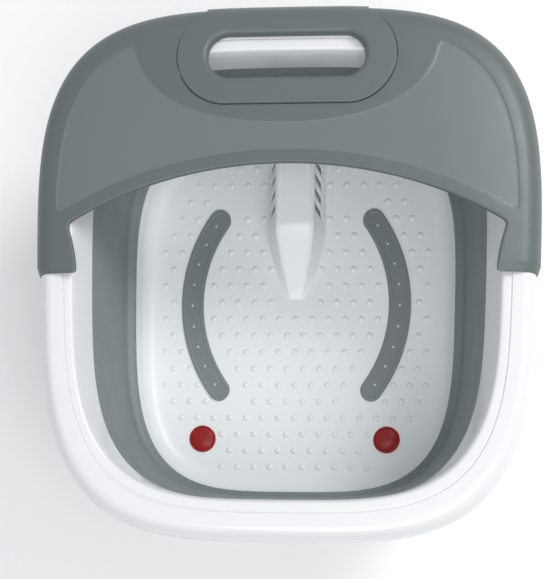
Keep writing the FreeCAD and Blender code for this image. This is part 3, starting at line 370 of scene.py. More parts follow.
def edge_drop(distance, radius):
    """How far a rounded edge drops at a distance in from the edge."""
    if distance >= radius:
        return 0.0
    inward = radius - max(distance, 0.0)
    return radius - math.sqrt(max(radius * radius - inward * inward, 0.0))


def edge_levels(radius, steps=5):
    """Distances at which a rounded edge needs a line of vertices."""
    return [radius * (1 - math.cos(math.pi / 2 * i / steps)) for i in range(steps + 1)]


def smooth_max(a, b, width):
    """The larger of two values, rounded off where they differ by less than width."""
    blend = max(width - abs(a - b), 0.0) / width
    return max(a, b) + blend * blend * width / 4


def smooth_min(a, b, width):
    """The smaller of two values, rounded off where they differ by less than width."""
    return -smooth_max(-a, -b, width)


def smooth_step(value):
    """0 below 0, 1 above 1, and smooth between."""
    t = min(max(value, 0.0), 1.0)
    return t * t * (3 - 2 * t)


# ---- materials ----
def set_inputs(node, values):
    """Sets a node's inputs from a dictionary of names and values."""
    for name, value in values.items():
        node.inputs[name].default_value = value


def mix_in(material, factor, colour):
    """Mixes a colour into what the shader's base colour is so far, by an output's value."""
    links = material.node_tree.links
    base = material.node_tree.nodes["Principled BSDF"].inputs["Base Color"]
    mix = material.node_tree.nodes.new("ShaderNodeMix")
    mix.data_type = "RGBA"
    set_inputs(mix, {"A": base.default_value, "B": (*colour, 1.0)})
    if base.is_linked:
        links.new(base.links[0].from_socket, mix.inputs["A"])
    links.new(factor, mix.inputs["Factor"])
    links.new(mix.outputs["Result"], base)


def surface_material(name, colour, second_colour, roughness, grain_mm, bump_mm,
                     patch_mm=40.0, roughness_spread=0.08, coat=0.0, subsurface=0.0, metallic=0.0,
                     specular=0.5, peel_mm=0.0, peel_height_mm=0.0):
    """Procedural finish: cloudy colour, uneven roughness, fine grain and an optional soft waviness."""
    material = bpy.data.materials.new(name)
    material.use_nodes = True
    nodes, links = material.node_tree.nodes, material.node_tree.links
    shader = nodes["Principled BSDF"]
    place = nodes.new("ShaderNodeTexCoord").outputs["Object"]
    set_inputs(shader, {
        "Base Color": (*colour, 1.0), "Metallic": metallic, "Specular IOR Level": specular,
        "Coat Weight": coat, "Subsurface Weight": subsurface, "Subsurface Radius": (4.0 * MM,) * 3,
    })

    def noise(size_mm, detail):
        node = nodes.new("ShaderNodeTexNoise")
        set_inputs(node, {"Scale": 1.0 / (size_mm * MM), "Detail": detail})
        links.new(place, node.inputs["Vector"])
        return node.outputs["Fac"]

    def bump(size_mm, detail, height_mm):
        node = nodes.new("ShaderNodeBump")
        set_inputs(node, {"Strength": 1.0, "Distance": height_mm * MM})
        links.new(noise(size_mm, detail), node.inputs["Height"])
        return node

    mix_in(material, noise(patch_mm, 3.0), second_colour)
    spread = nodes.new("ShaderNodeMapRange")
    smoothest, roughest = max(roughness - roughness_spread, 0.02), roughness + roughness_spread
    set_inputs(spread, {"To Min": smoothest, "To Max": roughest})
    links.new(noise(patch_mm * 0.35, 6.0), spread.inputs["Value"])
    links.new(spread.outputs["Result"], shader.inputs["Roughness"])
    grain = bump(grain_mm, 2.0, bump_mm)
    links.new(grain.outputs["Normal"], shader.inputs["Normal"])
    if peel_mm:
        peel = bump(peel_mm, 1.0, peel_height_mm)
        links.new(peel.outputs["Normal"], grain.inputs["Normal"])
    return material


def matte_field_material(name, border_colour, field_colour):
    """Grey guard plastic: satin on the border, and another grey where the mesh's field value is 1."""
    cloud_colour = [0.94 * value for value in border_colour]
    material = surface_material(name, border_colour, cloud_colour, 0.44, 0.9, 0.006,
                                patch_mm=55.0, coat=0.03, peel_mm=9.0, peel_height_mm=0.012)
    mask = material.node_tree.nodes.new("ShaderNodeAttribute")
    mask.attribute_name = "field"
    mix_in(material, mask.outputs["Fac"], field_colour)
    return material


# name, colour, second colour, roughness, grain size and grain height in millimetres
WHITE = surface_material("white_plastic", (0.715, 0.72, 0.725), (0.685, 0.693, 0.7), 0.22, 1.2, 0.003,
                         coat=0.25, peel_mm=11.0, peel_height_mm=0.02, subsurface=0.03)
FRAME_WHITE = surface_material("frame_white", (0.72, 0.725, 0.73), (0.7, 0.706, 0.712), 0.34, 1.2, 0.002,
                               coat=0.05, roughness_spread=0.03)
FOOTBED_WHITE = surface_material("footbed_white", (0.86, 0.885, 0.89), (0.83, 0.86, 0.87), 0.36, 0.8, 0.02,
                                 patch_mm=60.0, subsurface=0.05)
# Painted light: the ridge's white is lighter than the footbed's white plastic, standing in for the brighter
# light that falls on the ridge.
RIDGE_PAINTED_LIGHT_WHITE = surface_material("ridge_white_painted_light", (0.95, 0.962, 0.965), (0.93, 0.945, 0.95), 0.34, 0.8, 0.01,
                               patch_mm=60.0)
GUARD_GREY = matte_field_material("guard_grey", (0.1028, 0.1242, 0.1242), (0.128, 0.1533, 0.1513))
HANDLE_GREY = surface_material("handle_grey", (0.1067, 0.128, 0.129), (0.098, 0.1183, 0.1193),
                               0.44, 0.7, 0.01, patch_mm=45.0, coat=0.03)
SOFT_GREY = surface_material("soft_grey", (0.22, 0.255, 0.265), (0.2, 0.233, 0.242), 0.55, 0.6, 0.02,
                             patch_mm=50.0, roughness_spread=0.1, subsurface=0.05)
STRIP_GREY = surface_material("strip_grey", (0.21, 0.235, 0.24), (0.19, 0.215, 0.22), 0.42, 0.7, 0.015,
                              patch_mm=20.0)
LENS_RED = surface_material("lens_red", (0.37, 0.017, 0.012), (0.28, 0.012, 0.01), 0.3, 1.5, 0.004,
                            patch_mm=12.0, subsurface=0.2, specular=0.3)
RUBBER = surface_material("rubber", (0.028, 0.029, 0.03), (0.02, 0.021, 0.022), 0.7, 0.5, 0.03,
                          patch_mm=10.0)
INNER_PLASTIC = surface_material("inner_plastic", (0.55, 0.56, 0.57), (0.5, 0.51, 0.52), 0.45, 0.8, 0.02)
DARK_PLASTIC = surface_material("dark_plastic", (0.03, 0.031, 0.033), (0.022, 0.023, 0.025),
                                0.42, 0.6, 0.02)
STEEL = surface_material("steel", (0.56, 0.56, 0.57), (0.5, 0.5, 0.51), 0.3, 0.3, 0.01,
                         patch_mm=6.0, metallic=1.0)
ALUMINIUM = surface_material("aluminium", (0.77, 0.77, 0.78), (0.7, 0.7, 0.71), 0.4, 0.4, 0.01,
                             metallic=1.0)
BOARD_GREEN = surface_material("board_green", (0.02, 0.13, 0.05), (0.015, 0.1, 0.04), 0.35, 0.5, 0.01)
TUBE_CLEAR = surface_material("tube_milky", (0.6, 0.63, 0.65), (0.54, 0.57, 0.6), 0.3, 0.9, 0.01,
                              subsurface=0.4)
BUTTON_WHITE = surface_material("button_white", (0.7, 0.71, 0.72), (0.66, 0.67, 0.68), 0.35, 0.6, 0.01)


# ---- rim and skirt of the frame ----
def skirt_level(z, offset, radius=0.0):
    """Level of the rim's inner skirt at height z, grown outwards from its inner face by offset."""
    share = (z - SKIRT_FOOT_Z) / (RIM_TOP - 6.0 - SKIRT_FOOT_Z)
    plan = [foot + share * (mouth - 1.0 - foot) for foot, mouth in zip(SKIRT_FOOT, RIM_MOUTH)]
    return grown(plan, offset, z, radius)


def rim_piece():
    """White rim: rolled outside, fine groove, flat strip and inner skirt."""
    roll_width = 12.0
    outside = quarter_roll(RIM, roll_width, PARTING_Z + 1.2, RIM_TOP)
    foot_edge = [grown(RIM, -0.9, PARTING_Z + 0.1), grown(RIM, -0.25, PARTING_Z + 0.3)]
    top = [
        grown(RIM_GROOVE, 1.0, RIM_TOP - 0.7, 1.4),
        grown(RIM_GROOVE, 0.3, RIM_TOP - 2.0, 0.4),
        grown(RIM_GROOVE, -0.3, RIM_TOP - 2.0, 0.4),
        grown(RIM_GROOVE, -0.8, RIM_TOP - 1.4, 0.8),
        grown(RIM_MOUTH, 0.8, RIM_TOP - 2.0, 3.2),
        skirt_level(RIM_TOP - 7.0, 0.0, 3.0),
        skirt_level(SKIRT_FOOT_Z, 0.0, 0.7),
    ]
    underside = [
        skirt_level(SKIRT_FOOT_Z, RIM_WALL, 0.7),
        skirt_level(RIM_TOP - 7.0, RIM_WALL, 2.0),
        grown(RIM_MOUTH, 3.0, RIM_TOP - 4.6, 1.0),
        grown(RIM_GROOVE, 0.0, RIM_TOP - 4.6, 1.0),
        grown(RIM, -roll_width, RIM_TOP - RIM_WALL, 6.0),
        grown(RIM, -RIM_WALL - 1.0, RIM_TOP - 8.0, 6.0),
        grown(RIM, -RIM_WALL, PARTING_Z + 0.1),
    ]
    levels = foot_edge + outside + rounded(top + underside, closed=False)
    piece = make_piece("rim", ring(levels), WHITE)
    stands_for(piece, "rim_cap", "frame")


def frame_skirt_piece():
    """White skirt below the parting line with its inward ledge."""
    low, high = FRAME_SKIRT_Z, PARTING_Z
    proud, draft, wall, ledge = 0.8, 3.3, 2.2, 24.0
    foot = proud - draft
    levels = rounded([
        grown(RIM, proud, high, 1.1),
        grown(RIM, proud - 0.2, high - 4.0, 2.0),
        grown(RIM, foot + 0.6, low + 4.0, 4.0),
        grown(RIM, foot - 0.6, low, 1.8),
        grown(RIM, foot - ledge, low, 0.8),
        grown(RIM, foot - ledge, low + wall, 0.8),
        grown(RIM, foot + 0.3 - wall, low + wall, 3.0),
        grown(RIM, proud - wall, high, 0.6),
    ])
    piece = make_piece("lower_skirt", ring(levels), FRAME_WHITE)
    stands_for(piece, "frame_skirt", "frame")


# ---- splash guard and the grip insert around the carry hole ----
GUARD_WALL = 2.4
GUARD_END_Y = 3.5
LIP_HALF_CHORD = 169.5
LIP_CHORD_Y = 40.5
LIP_RISE = 44.2
LIP_RADIUS = (LIP_HALF_CHORD ** 2 + LIP_RISE ** 2) / (2 * LIP_RISE)
WING_INNER_X = 162.3            # inner edge of the wing at its end
WING_CURVE = 1.8                # how late the wing's inner edge bends out to the lip
CREST_SLOPE = 0.15              # how steep the guard's top still is where its rolled edge ends
CREST_WIDTH = 80.0              # from the rim's outside to where the guard's top is level
HANDLE_Y = 165.2
HOLE_HALF = (60.0, 16.4)
INSERT_HALF = (83.5, 36.7)
INSERT_BACK_HALF_WIDTH = 62.0
INSERT_PROUD = 1.2
HOLE_ROLL = 4.2
FIELD_RAMP = 1.0                # width of the step down into the grained field


def guard_profile():
    """Points (inset from the rim's outside, height) of the guard, from its lower edge to the middle."""
    roll_width, roll_low, roll_high = 19.0, GUARD_EDGE_Z + 2.0, GUARD_TOP - 4.0
    steps, last_angle = 16, math.radians(81.7)
    top_step, last_inset = 2.8, 128.0
    points = [(-GUARD_PROUD, GUARD_EDGE_Z), (-GUARD_PROUD, GUARD_EDGE_Z + 1.0)]
    for i in range(steps + 1):
        angle = last_angle * i / steps
        inset = -GUARD_PROUD + roll_width * (1 - math.cos(angle))
        points.append((inset, roll_low + (roll_high - roll_low) * math.sin(angle)))
    inset, roll_z = points[-1]
    reach, rise = CREST_WIDTH - inset, GUARD_TOP - roll_z
    power = CREST_SLOPE * reach / rise
    while inset < last_inset:
        inset += top_step
        left = max(CREST_WIDTH - inset, 0.0) / reach
        points.append((inset, GUARD_TOP - rise * left ** power))
    return points


GUARD_PROFILE = guard_profile()


def guard_section(row):
    """Inset and height of the guard at a row, which may lie between two points of the profile."""
    row = min(max(row, 0.0), len(GUARD_PROFILE) - 1.001)
    first = int(row)
    (inset_a, z_a), (inset_b, z_b) = GUARD_PROFILE[first], GUARD_PROFILE[first + 1]
    return inset_a + (inset_b - inset_a) * (row - first), z_a + (z_b - z_a) * (row - first)


def guard_point(angle, row):
    """Point of the guard's surface: angle in degrees around the outline, row along the profile."""
    inset, z = guard_section(row)
    return on_outline((RIM[0] - inset, RIM[1] - inset), math.radians(angle), z)


def guard_surface(angle, row):
    """Point and outward normal of the guard's surface."""
    point, inward = surface_frame(guard_point, angle, row, 0.2, 0.2)
    return point, -inward


def insert_distance(x, y):
    """How far inside the grip insert's outline a point is."""
    half_straight, corner_blend = INSERT_HALF[0] - INSERT_HALF[1], 5.0
    oval = INSERT_HALF[1] - math.hypot(max(abs(x) - half_straight, 0.0), y - HANDLE_Y)
    back = min(INSERT_BACK_HALF_WIDTH - abs(x), y - HANDLE_Y)
    return smooth_max(oval, back, corner_blend)


def hole_distance(x, y):
    """How far outside the carry hole a point is."""
    half_straight = HOLE_HALF[0] - HOLE_HALF[1]
    return math.hypot(max(abs(x) - half_straight, 0.0), y - HANDLE_Y) - HOLE_HALF[1]


def lip_distance(x, y):
    """How far behind the guard's curved front lip a point is."""
    return math.hypot(x, y - (LIP_CHORD_Y + LIP_RISE - LIP_RADIUS)) - LIP_RADIUS


def guard_edge(x, y):
    """How far inside the guard's plan outline a point is."""
    lip_blend, end_blend = 4.0, 3.0
    along_wing = max(y - GUARD_END_Y, 0.0) / (LIP_CHORD_Y - GUARD_END_Y)
    wing = abs(x) - WING_INNER_X - (LIP_HALF_CHORD - WING_INNER_X) * along_wing ** WING_CURVE
    inner = smooth_max(lip_distance(x, y), wing, lip_blend)
    return smooth_min(inner, y - GUARD_END_Y, end_blend)


def matte_field(x, y, inset):
    """How far inside the guard's grained field a point is."""
    oval_half, oval_y, oval_power = (115.0, 66.4), 181.5, 2.3
    outer_border, lip_border, border_blend, oval_blend = 16.0, 9.2, 8.0, 6.0
    share = (abs(x) / oval_half[0]) ** oval_power + (abs(y - oval_y) / oval_half[1]) ** oval_power
    outside_oval = (share ** (1 / oval_power) - 1) * oval_half[1]
    border = smooth_min(inset - outer_border, lip_distance(x, y) - lip_border, border_blend)
    return smooth_min(border, outside_oval, oval_blend)


def at_guard(function):
    """A field of (x, y) as a field of (angle, row)."""
    def field(angle, row):
        point = guard_point(angle, row)
        return function(point.x, point.y)
    return field


def matte_at(angle, row):
    """The grained field as a field of (angle, row)."""
    point = guard_point(angle, row)
    return matte_field(point.x, point.y, guard_section(row)[0])


def splash_guard_piece():
    """Grey guard: rounded lip, sloped wing ends, recessed grained field and a cut-out for the insert."""
    edge_radius, gap, gap_radius, field_step = 1.5, 0.35, 0.6, 0.45
    end_slope_length, end_slope_drop = 7.0, 2.0
    first_angle, angle_step, angle_count = -1.0, 0.65, 281
    edge = at_guard(guard_edge)
    cutout = at_guard(lambda x, y: -insert_distance(x, y) - gap)
    end = at_guard(lambda x, y: y - GUARD_END_Y)

    def keep(angle, row):
        return min(edge(angle, row), cutout(angle, row))

    def lift(angle, row):
        drop = edge_drop(edge(angle, row), edge_radius) + edge_drop(cutout(angle, row), gap_radius)
        slope = end_slope_drop * max(1 - end(angle, row) / end_slope_length, 0.0)
        recess = field_step * smooth_step(matte_at(angle, row) / FIELD_RAMP)
        return -min(drop + slope + recess, GUARD_WALL - 0.1)

    columns = [first_angle + angle_step * i for i in range(angle_count)]
    fields = [
        (edge, edge_levels(edge_radius)),
        (cutout, edge_levels(gap_radius, 3)),
        (end, [end_slope_length]),
        (matte_at, [FIELD_RAMP * share for share in (0.0, 0.35, 0.7, 1.0)]),
    ]
    rows = range(len(GUARD_PROFILE))
    shape = sheet(columns, rows, guard_surface, fields, keep, lift, GUARD_WALL + 0.6)
    piece = make_piece("splash_guard_shell", shape, GUARD_GREY)
    mask = piece.data.attributes.new("field", "FLOAT", "POINT")
    for vertex, item in zip(piece.data.vertices, mask.data):
        item.value = field_mask(vertex.co / MM - Vector((0, CENTRE_Y, 0)))
    stands_for(piece, "splash_guard", "frame")


def field_mask(point):
    """1 in the grained field, 0 on the smooth border, at a point of the guard."""
    power = abs(point.x / RIM[0]) ** SQUARENESS + abs(point.y / RIM[1]) ** SQUARENESS
    inset = (1 - power ** (1 / SQUARENESS)) * RIM[0]
    return smooth_step(matte_field(point.x, point.y, inset) / FIELD_RAMP)


def grip_insert_piece():
    """Insert around the carry hole, slightly proud, rolling down into the hole."""
    edge_radius, wall, hole_depth = 1.0, 2.4, 0.6
    first_angle, angle_step, angle_count = 56.0, 0.4, 171
    rows_per_point, points_left_out = 3, 14
    outer, hole = at_guard(insert_distance), at_guard(hole_distance)

    def keep(angle, row):
        return min(outer(angle, row), hole(angle, row))

    def lift(angle, row):
        drop = edge_drop(outer(angle, row), edge_radius)
        return INSERT_PROUD - drop - edge_drop(hole(angle, row), HOLE_ROLL)

    def under(angle, row):
        distance = hole(angle, row)
        if distance >= HOLE_ROLL:
            return wall
        if distance <= wall:
            return HOLE_ROLL + hole_depth
        return wall + edge_drop(distance - wall, HOLE_ROLL - wall)

    columns = [first_angle + angle_step * i for i in range(angle_count)]
    row_count = (len(GUARD_PROFILE) - points_left_out) * rows_per_point
    rows = [i / rows_per_point for i in range(row_count)]
    fields = [(outer, edge_levels(edge_radius)), (hole, edge_levels(HOLE_ROLL, 10))]
    shape = sheet(columns, rows, guard_surface, fields, keep, lift, under)
    piece = make_piece("grip_insert", shape, HANDLE_GREY)
    stands_for(piece, "handle_bezel", "frame")


# ---- soft wall ----
def soft_wall_piece():
    """Soft wall with a lip over the footbed's edge and shallow folding lines."""
    gap, wall, lip = 0.1, 1.8, 1.2
    wall_low = Vector((149.0, 164.0, TUB_TOP + 6.0))
    wall_high = Vector((SKIRT_FOOT[0] - 0.6, SKIRT_FOOT[1] - 0.6, SKIRT_FOOT_Z - 16.0))
    fold_lines, fold_depth, fold_half_width = (0.08, 0.5, 0.93), 0.55, 1.8
    wall_rows = 64

    def stretch(offset):
        levels = []
        for i in range(wall_rows + 1):
            share = i / wall_rows
            centre = wall_low.lerp(wall_high, share)
            depth = 0.0
            for line in fold_lines:
                away = abs(share - line) * (wall_high.z - wall_low.z) / fold_half_width
                depth += fold_depth * (1 - smooth_step(away))
            levels.append(grown(centre.xy, offset + depth, centre.z))
        return levels

    inner = [
        skirt_level(187.0, RIM_WALL + gap, 0.5),
        skirt_level(SKIRT_FOOT_Z, RIM_WALL + gap, 2.0),
        grown(SKIRT_FOOT, 1.0, SKIRT_FOOT_Z - 3.0, 2.0),
        grown(SKIRT_FOOT, 0.2, SKIRT_FOOT_Z - 9.0, 3.0),
    ]
    bottom = [
        (148.0, 163.0, TUB_TOP + 3.4, 1.6),
        grown(TUB, 1.2, TUB_TOP + 1.6, 1.2),
        grown(TUB, -lip, TUB_TOP + 1.4, 2.2),
        grown(TUB, -lip, TUB_TOP - 7.6, 0.5),
        grown(TUB, -gap, TUB_TOP - 7.6, 0.3),
        grown(TUB, -gap, TUB_TOP + gap, 0.3),
        grown(TUB, 2.5 + gap, TUB_TOP + gap, 0.3),
        grown(TUB, 2.5 + gap, TUB_FLOOR - 2.8, 0.5),
        grown(TUB, 2.5 + wall, TUB_FLOOR - 2.8, 0.5),
        grown(TUB, 2.5 + wall, TUB_TOP - 3.0, 3.0),
    ]
    outer_top = [
        grown(SKIRT_FOOT, wall + 0.2, SKIRT_FOOT_Z - 9.0, 3.0),
        grown(SKIRT_FOOT, wall + 1.0, SKIRT_FOOT_Z - 3.0, 2.0),
        skirt_level(SKIRT_FOOT_Z, RIM_WALL + gap + wall, 2.0),
        skirt_level(187.0, RIM_WALL + gap + wall, 0.5),
    ]
    levels = rounded(inner + stretch(0.0)[::-1] + bottom + stretch(wall) + outer_top)
    piece = make_piece("soft_wall", ring(levels), SOFT_GREY)
    stands_for(piece, "bellows", None)
    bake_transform(piece)


# ---- base ----
def base_piece():
    """Outer tray of the base with its rounded shoulder, vents, screw holes and two wall openings."""
    wall, floor = 2.5, 3.0
    mouth = (150.0, 167.0)
    low, high = BASE_BOTTOM, BASE_SHOULDER
    vent_y, vent_pitch, vent_half_length, vent_radius = 118.0, 8.0, 20.5, 1.5
    screw_head, screw_hole, screw_seat = 3.8, 2.15, low + 2.5
    button_hole, inlet_half = 11.05, (14.1, 9.1)
    levels = rounded([
        grown(BASE, -12.0, low),
        grown(BASE, -8.0, low, 6.0),
        grown(BASE, -2.2, low + 3.0, 6.0),
        grown(BASE, 0.0, low + 12.0, 6.0),
        grown(BASE, 0.0, high - 8.0, 6.0),
        grown(BASE, -1.2, high - 1.2, 6.0),
        grown(BASE, -9.0, high, 6.0),
        (*mouth, high, 0.6),
        (*mouth, high - wall, 0.6),
        grown(BASE, -10.5, high - wall),
        grown(BASE, -wall, high - 10.0),
        grown(BASE, -wall, low + 12.0),
        grown(BASE, -12.0, low + floor),
    ], closed=False)
    piece = make_piece("base_tray", stack(levels), WHITE)
    openings = []
    for i in range(-3, 4):
        y = vent_y + vent_pitch * i
        openings.append(rounded_bar((-vent_half_length, y, 0), (vent_half_length, y, 0), vent_radius, 12.0))
    head = [(screw_head, -2.0), (screw_head, screw_seat)]
    hole = [(screw_hole, screw_seat), (screw_hole, low + 9.0)]
    openings += [lathe(head + hole, (x, y, 0)) for x, y in SCREW_PLACES]
    openings.append(lathe([(button_hole, -8.0), (button_hole, 15.0)], (0, -BASE[1], BUTTON_Z), axis="y"))
    carve(piece, openings)
    inlet_low = (INLET_X - inlet_half[0], BASE[1] - 20, INLET_Z - inlet_half[1])
    inlet_high = (INLET_X + inlet_half[0], BASE[1] + 5, INLET_Z + inlet_half[1])
    carve(piece, [rounded_box(inlet_low, inlet_high)])
    stands_for(piece, "base_shell", "base")


def feet_piece():
    """Soft round feet with a rounded edge and a shallow ring groove."""
    radius, height = 12.0, BASE_BOTTOM
    profile = [
        (3.0, 0.6), (8.6, 0.6), (9.0, 0.1), (radius - 1.0, 0.0), (radius - 0.3, 0.3), (radius, 1.0),
        (radius - 0.9, height - 0.4), (radius - 1.2, height), (3.0, height), (3.0, height + 3.4),
    ]
    feet = [lathe(profile, (x, y, 0)) for x in (-125.0, 125.0) for y in (-135.0, 135.0)]
    piece = make_piece("soft_feet", joined(feet), RUBBER)
    stands_for(piece, "rubber_feet", "base")


# ---- footbed and what sits on it ----
RIDGE_FRONT_Y, RIDGE_SHOULDER_Y, RIDGE_BACK_Y = 18.0, 71.0, 143.0
RIDGE_HALF_FOOT, RIDGE_HALF_TOP, RIDGE_TOP = 26.5, 17.6, 88.0
STRIP_RADIUS, STRIP_HALF_ANGLE = 130.0, math.radians(36.0)
STRIP_WIDTH, STRIP_HEIGHT = 20.0, 2.2
STRIP_OUT_X, STRIP_Y = 95.0, 12.0
LENS_X, LENS_Y, LENS_RADIUS = 85.0, -109.5, 12.2


def covered_by_fitting(x, y):
    """True where a nub would sit under the ridge, a bubble strip or a lens."""
    ridge_gap, strip_gap, lens_gap = 6.0, 3.5, 5.0
    front_half_ridge, widening_y = 18.0, 55.0
    half_ridge = RIDGE_HALF_FOOT + ridge_gap / 2 if y > widening_y else front_half_ridge
    if abs(x) < half_ridge and y > RIDGE_FRONT_Y - ridge_gap:
        return True
    from_strip = math.hypot(abs(x) - STRIP_OUT_X + STRIP_RADIUS, y - STRIP_Y)
    strip_reach = STRIP_RADIUS * math.sin(STRIP_HALF_ANGLE) + STRIP_WIDTH
    if abs(from_strip - STRIP_RADIUS) < STRIP_WIDTH / 2 + strip_gap and abs(y - STRIP_Y) < strip_reach:
        return True
    return math.hypot(abs(x) - LENS_X, y - LENS_Y) < LENS_RADIUS + lens_gap


def nub_places():
    """Staggered grid of massage nubs on the flat of the floor."""
    pitch, edge_gap = 15.0, 3.0
    flat = [half - TUB_WALL - TUB_CORNER - edge_gap for half in TUB]
    row_count, column_count = int(flat[1] // pitch), int(flat[0] // pitch) + 1
    places = []
    for row in range(-row_count, row_count + 1):
        y = row * pitch
        stagger = pitch / 2 if row % 2 else 0.0
        for column in range(-column_count, column_count + 1):
            x = column * pitch + stagger
            edge = on_outline(flat, math.atan2(y, x))
            if math.hypot(x, y) < edge.length and not covered_by_fitting(x, y):
                places.append((x, y, TUB_FLOOR))
    return places


def footbed_piece():
    """White tub: floor, rounded corner, drafted wall and the flange on the base."""
    corner_steps = 10
    inside = []
    for i in range(corner_steps + 1):
        angle = math.pi / 2 * i / corner_steps
        inward = TUB_WALL + TUB_CORNER * (1 - math.sin(angle))
        inside.append(grown(TUB, -inward, TUB_FLOOR + TUB_CORNER * (1 - math.cos(angle))))
    outside = [
        grown(TUB, -1.3, TUB_TOP - 8.2),
        grown(TUB, -0.3, TUB_TOP - 8.0),
        grown(TUB, 0.0, TUB_TOP - 0.3),
        grown(TUB, 2.4, TUB_TOP - 0.3),
        grown(TUB, 2.4, 48.0),
        grown(TUB, 3.4, 47.0),
        grown(TUB, 13.8, 47.0),
        grown(TUB, 14.5, 46.5),
        grown(TUB, 14.5, 45.3),
        grown(TUB, 14.2, 45.0),
        grown(TUB, -3.0, 45.0),
        grown(TUB, -TUB_CORNER, TUB_FLOOR - TUB_WALL),
    ]
    nub = [(3.1, -0.4), (3.0, 0.0), (2.55, 0.35), (2.2, 0.8), (1.75, 1.15), (1.1, 1.3), (0.4, 1.36)]
    nubs = [lathe(nub, place, count=20) for place in nub_places()]
    piece = make_piece("foot_floor", joined([stack(inside + outside)] + nubs), FOOTBED_WHITE)
    stands_for(piece, "footbed", "base")


RIDGE_STATIONS = [
    # y, half width at the foot, half width of the top, height
    (RIDGE_FRONT_Y, 8.0, 5.5, 51.0),
    (RIDGE_FRONT_Y + 8, 12.0, 8.5, 54.5),
    (RIDGE_FRONT_Y + 21, 17.0, 12.0, 63.5),
    (RIDGE_SHOULDER_Y - 16, 22.0, 15.0, 75.0),
    (RIDGE_SHOULDER_Y - 4, 25.0, 16.9, 84.0),
    (RIDGE_SHOULDER_Y + 6, RIDGE_HALF_FOOT, RIDGE_HALF_TOP, RIDGE_TOP),
    (RIDGE_BACK_Y, RIDGE_HALF_FOOT, RIDGE_HALF_TOP, RIDGE_TOP),
]


def ridge_size(y):
    """Half foot, half top and height of the ridge at y, smooth through the stations."""
    stations = RIDGE_STATIONS
    last = len(stations) - 1
    i = 0
    while i < last - 1 and y > stations[i + 1][0]:
        i += 1
    before, first = stations[max(i - 1, 0)], stations[i]
    second, after = stations[i + 1], stations[min(i + 2, last)]
    span = second[0] - first[0]
    t = min(max((y - first[0]) / span, 0.0), 1.0)
    sizes = []
    for k in (1, 2, 3):
        slope_a = (second[k] - before[k]) / (second[0] - before[0]) * span
        slope_b = (after[k] - first[k]) / (after[0] - first[0]) * span
        if first[k] == second[k]:
            slope_a = slope_b = 0.0
        elif second[k] == after[k]:
            slope_b = 0.0
        ends = (2 * t ** 3 - 3 * t ** 2 + 1) * first[k] + (3 * t ** 2 - 2 * t ** 3) * second[k]
        sizes.append(ends + (t ** 3 - 2 * t ** 2 + t) * slope_a + (t ** 3 - t ** 2) * slope_b)
    return sizes


def ridge_point(y, across):
    """Point of the ridge's skin: across runs from -1 (left foot) over the top to 1 (right foot)."""
    side_share, corner_share, full_crown, full_crown_rise = 0.52, 0.2, 0.7, 20.0
    half_foot, half_top, high = ridge_size(y)
    low = TUB_FLOOR
    radius = min(4.0, (high - low) * 0.5, half_top * 0.7)
    top_share = 1 - side_share - corner_share
    from_middle = abs(across)
    if from_middle > 1 - side_share:
        t = (1 - from_middle) / side_share
        x, z = half_foot + (half_top - half_foot) * t, low + (high - radius - low) * t
    elif from_middle > top_share:
        angle = math.pi / 2 * (1 - side_share - from_middle) / corner_share
        x, z = half_top - radius * (1 - math.cos(angle)), high - radius + radius * math.sin(angle)
    else:
        t = from_middle / top_share
        crown = full_crown * min((high - low) / full_crown_rise, 1.0)
        x, z = (half_top - radius) * t, high - crown * t * t
    return Vector((math.copysign(x, across), y, z))


def slot_distance(y, across):
    """How far outside the nearest louvre slot a point of the skin is."""
    first_y, pitch, count, lean = 91.0, 12.7, 4, 0.22
    half_width, low, high, corner = 4.1, 61.0, 83.5, 1.4
    from_middle_z = ridge_point(y, across).z - (low + high) / 2
    from_first_y = y - lean * from_middle_z - first_y
    nearest = min(max(round(from_first_y / pitch), 0), count - 1)
    away_y = abs(from_first_y - nearest * pitch) - half_width + corner
    away_z = abs(from_middle_z) - (high - low) / 2 + corner
    outside = math.hypot(max(away_y, 0.0), max(away_z, 0.0))
    return outside + min(max(away_y, away_z), 0.0) - corner


def ridge_piece():
    """Hollow cover between the feet with leaning louvre slots in both sides and a plate at its back."""
    slot_edge, wall, back_wall = 0.7, 2.0, 1.5
    step, step_count, slot_step, slot_step_count = 1.6, 38, 0.9, 66
    columns = [RIDGE_FRONT_Y + step * i for i in range(step_count)]
    slots_start = columns[-1]
    columns += [slots_start + slot_step * (i + 1) for i in range(slot_step_count)]
    columns.append(RIDGE_BACK_Y)
    rows = [-1 + i / 40 for i in range(81)]

    def surface(y, across):
        return surface_frame(ridge_point, y, across, 0.3, 0.004)

    def lift(y, across):
        return -edge_drop(slot_distance(y, across), slot_edge)

    fields = [(slot_distance, edge_levels(slot_edge, 4))]
    cover = sheet(columns, rows, surface, fields, slot_distance, lift, wall)
    back = [ridge_point(RIDGE_BACK_Y, across) for across in rows]
    plate = prism([point - Vector((0, back_wall, 0)) for point in back] + back)
    # The ridge's lighter white material is painted light.
    piece = make_piece("ridge_cover", joined([cover, plate]), RIDGE_PAINTED_LIGHT_WHITE)
    stands_for(piece, "center_ridge", "base")


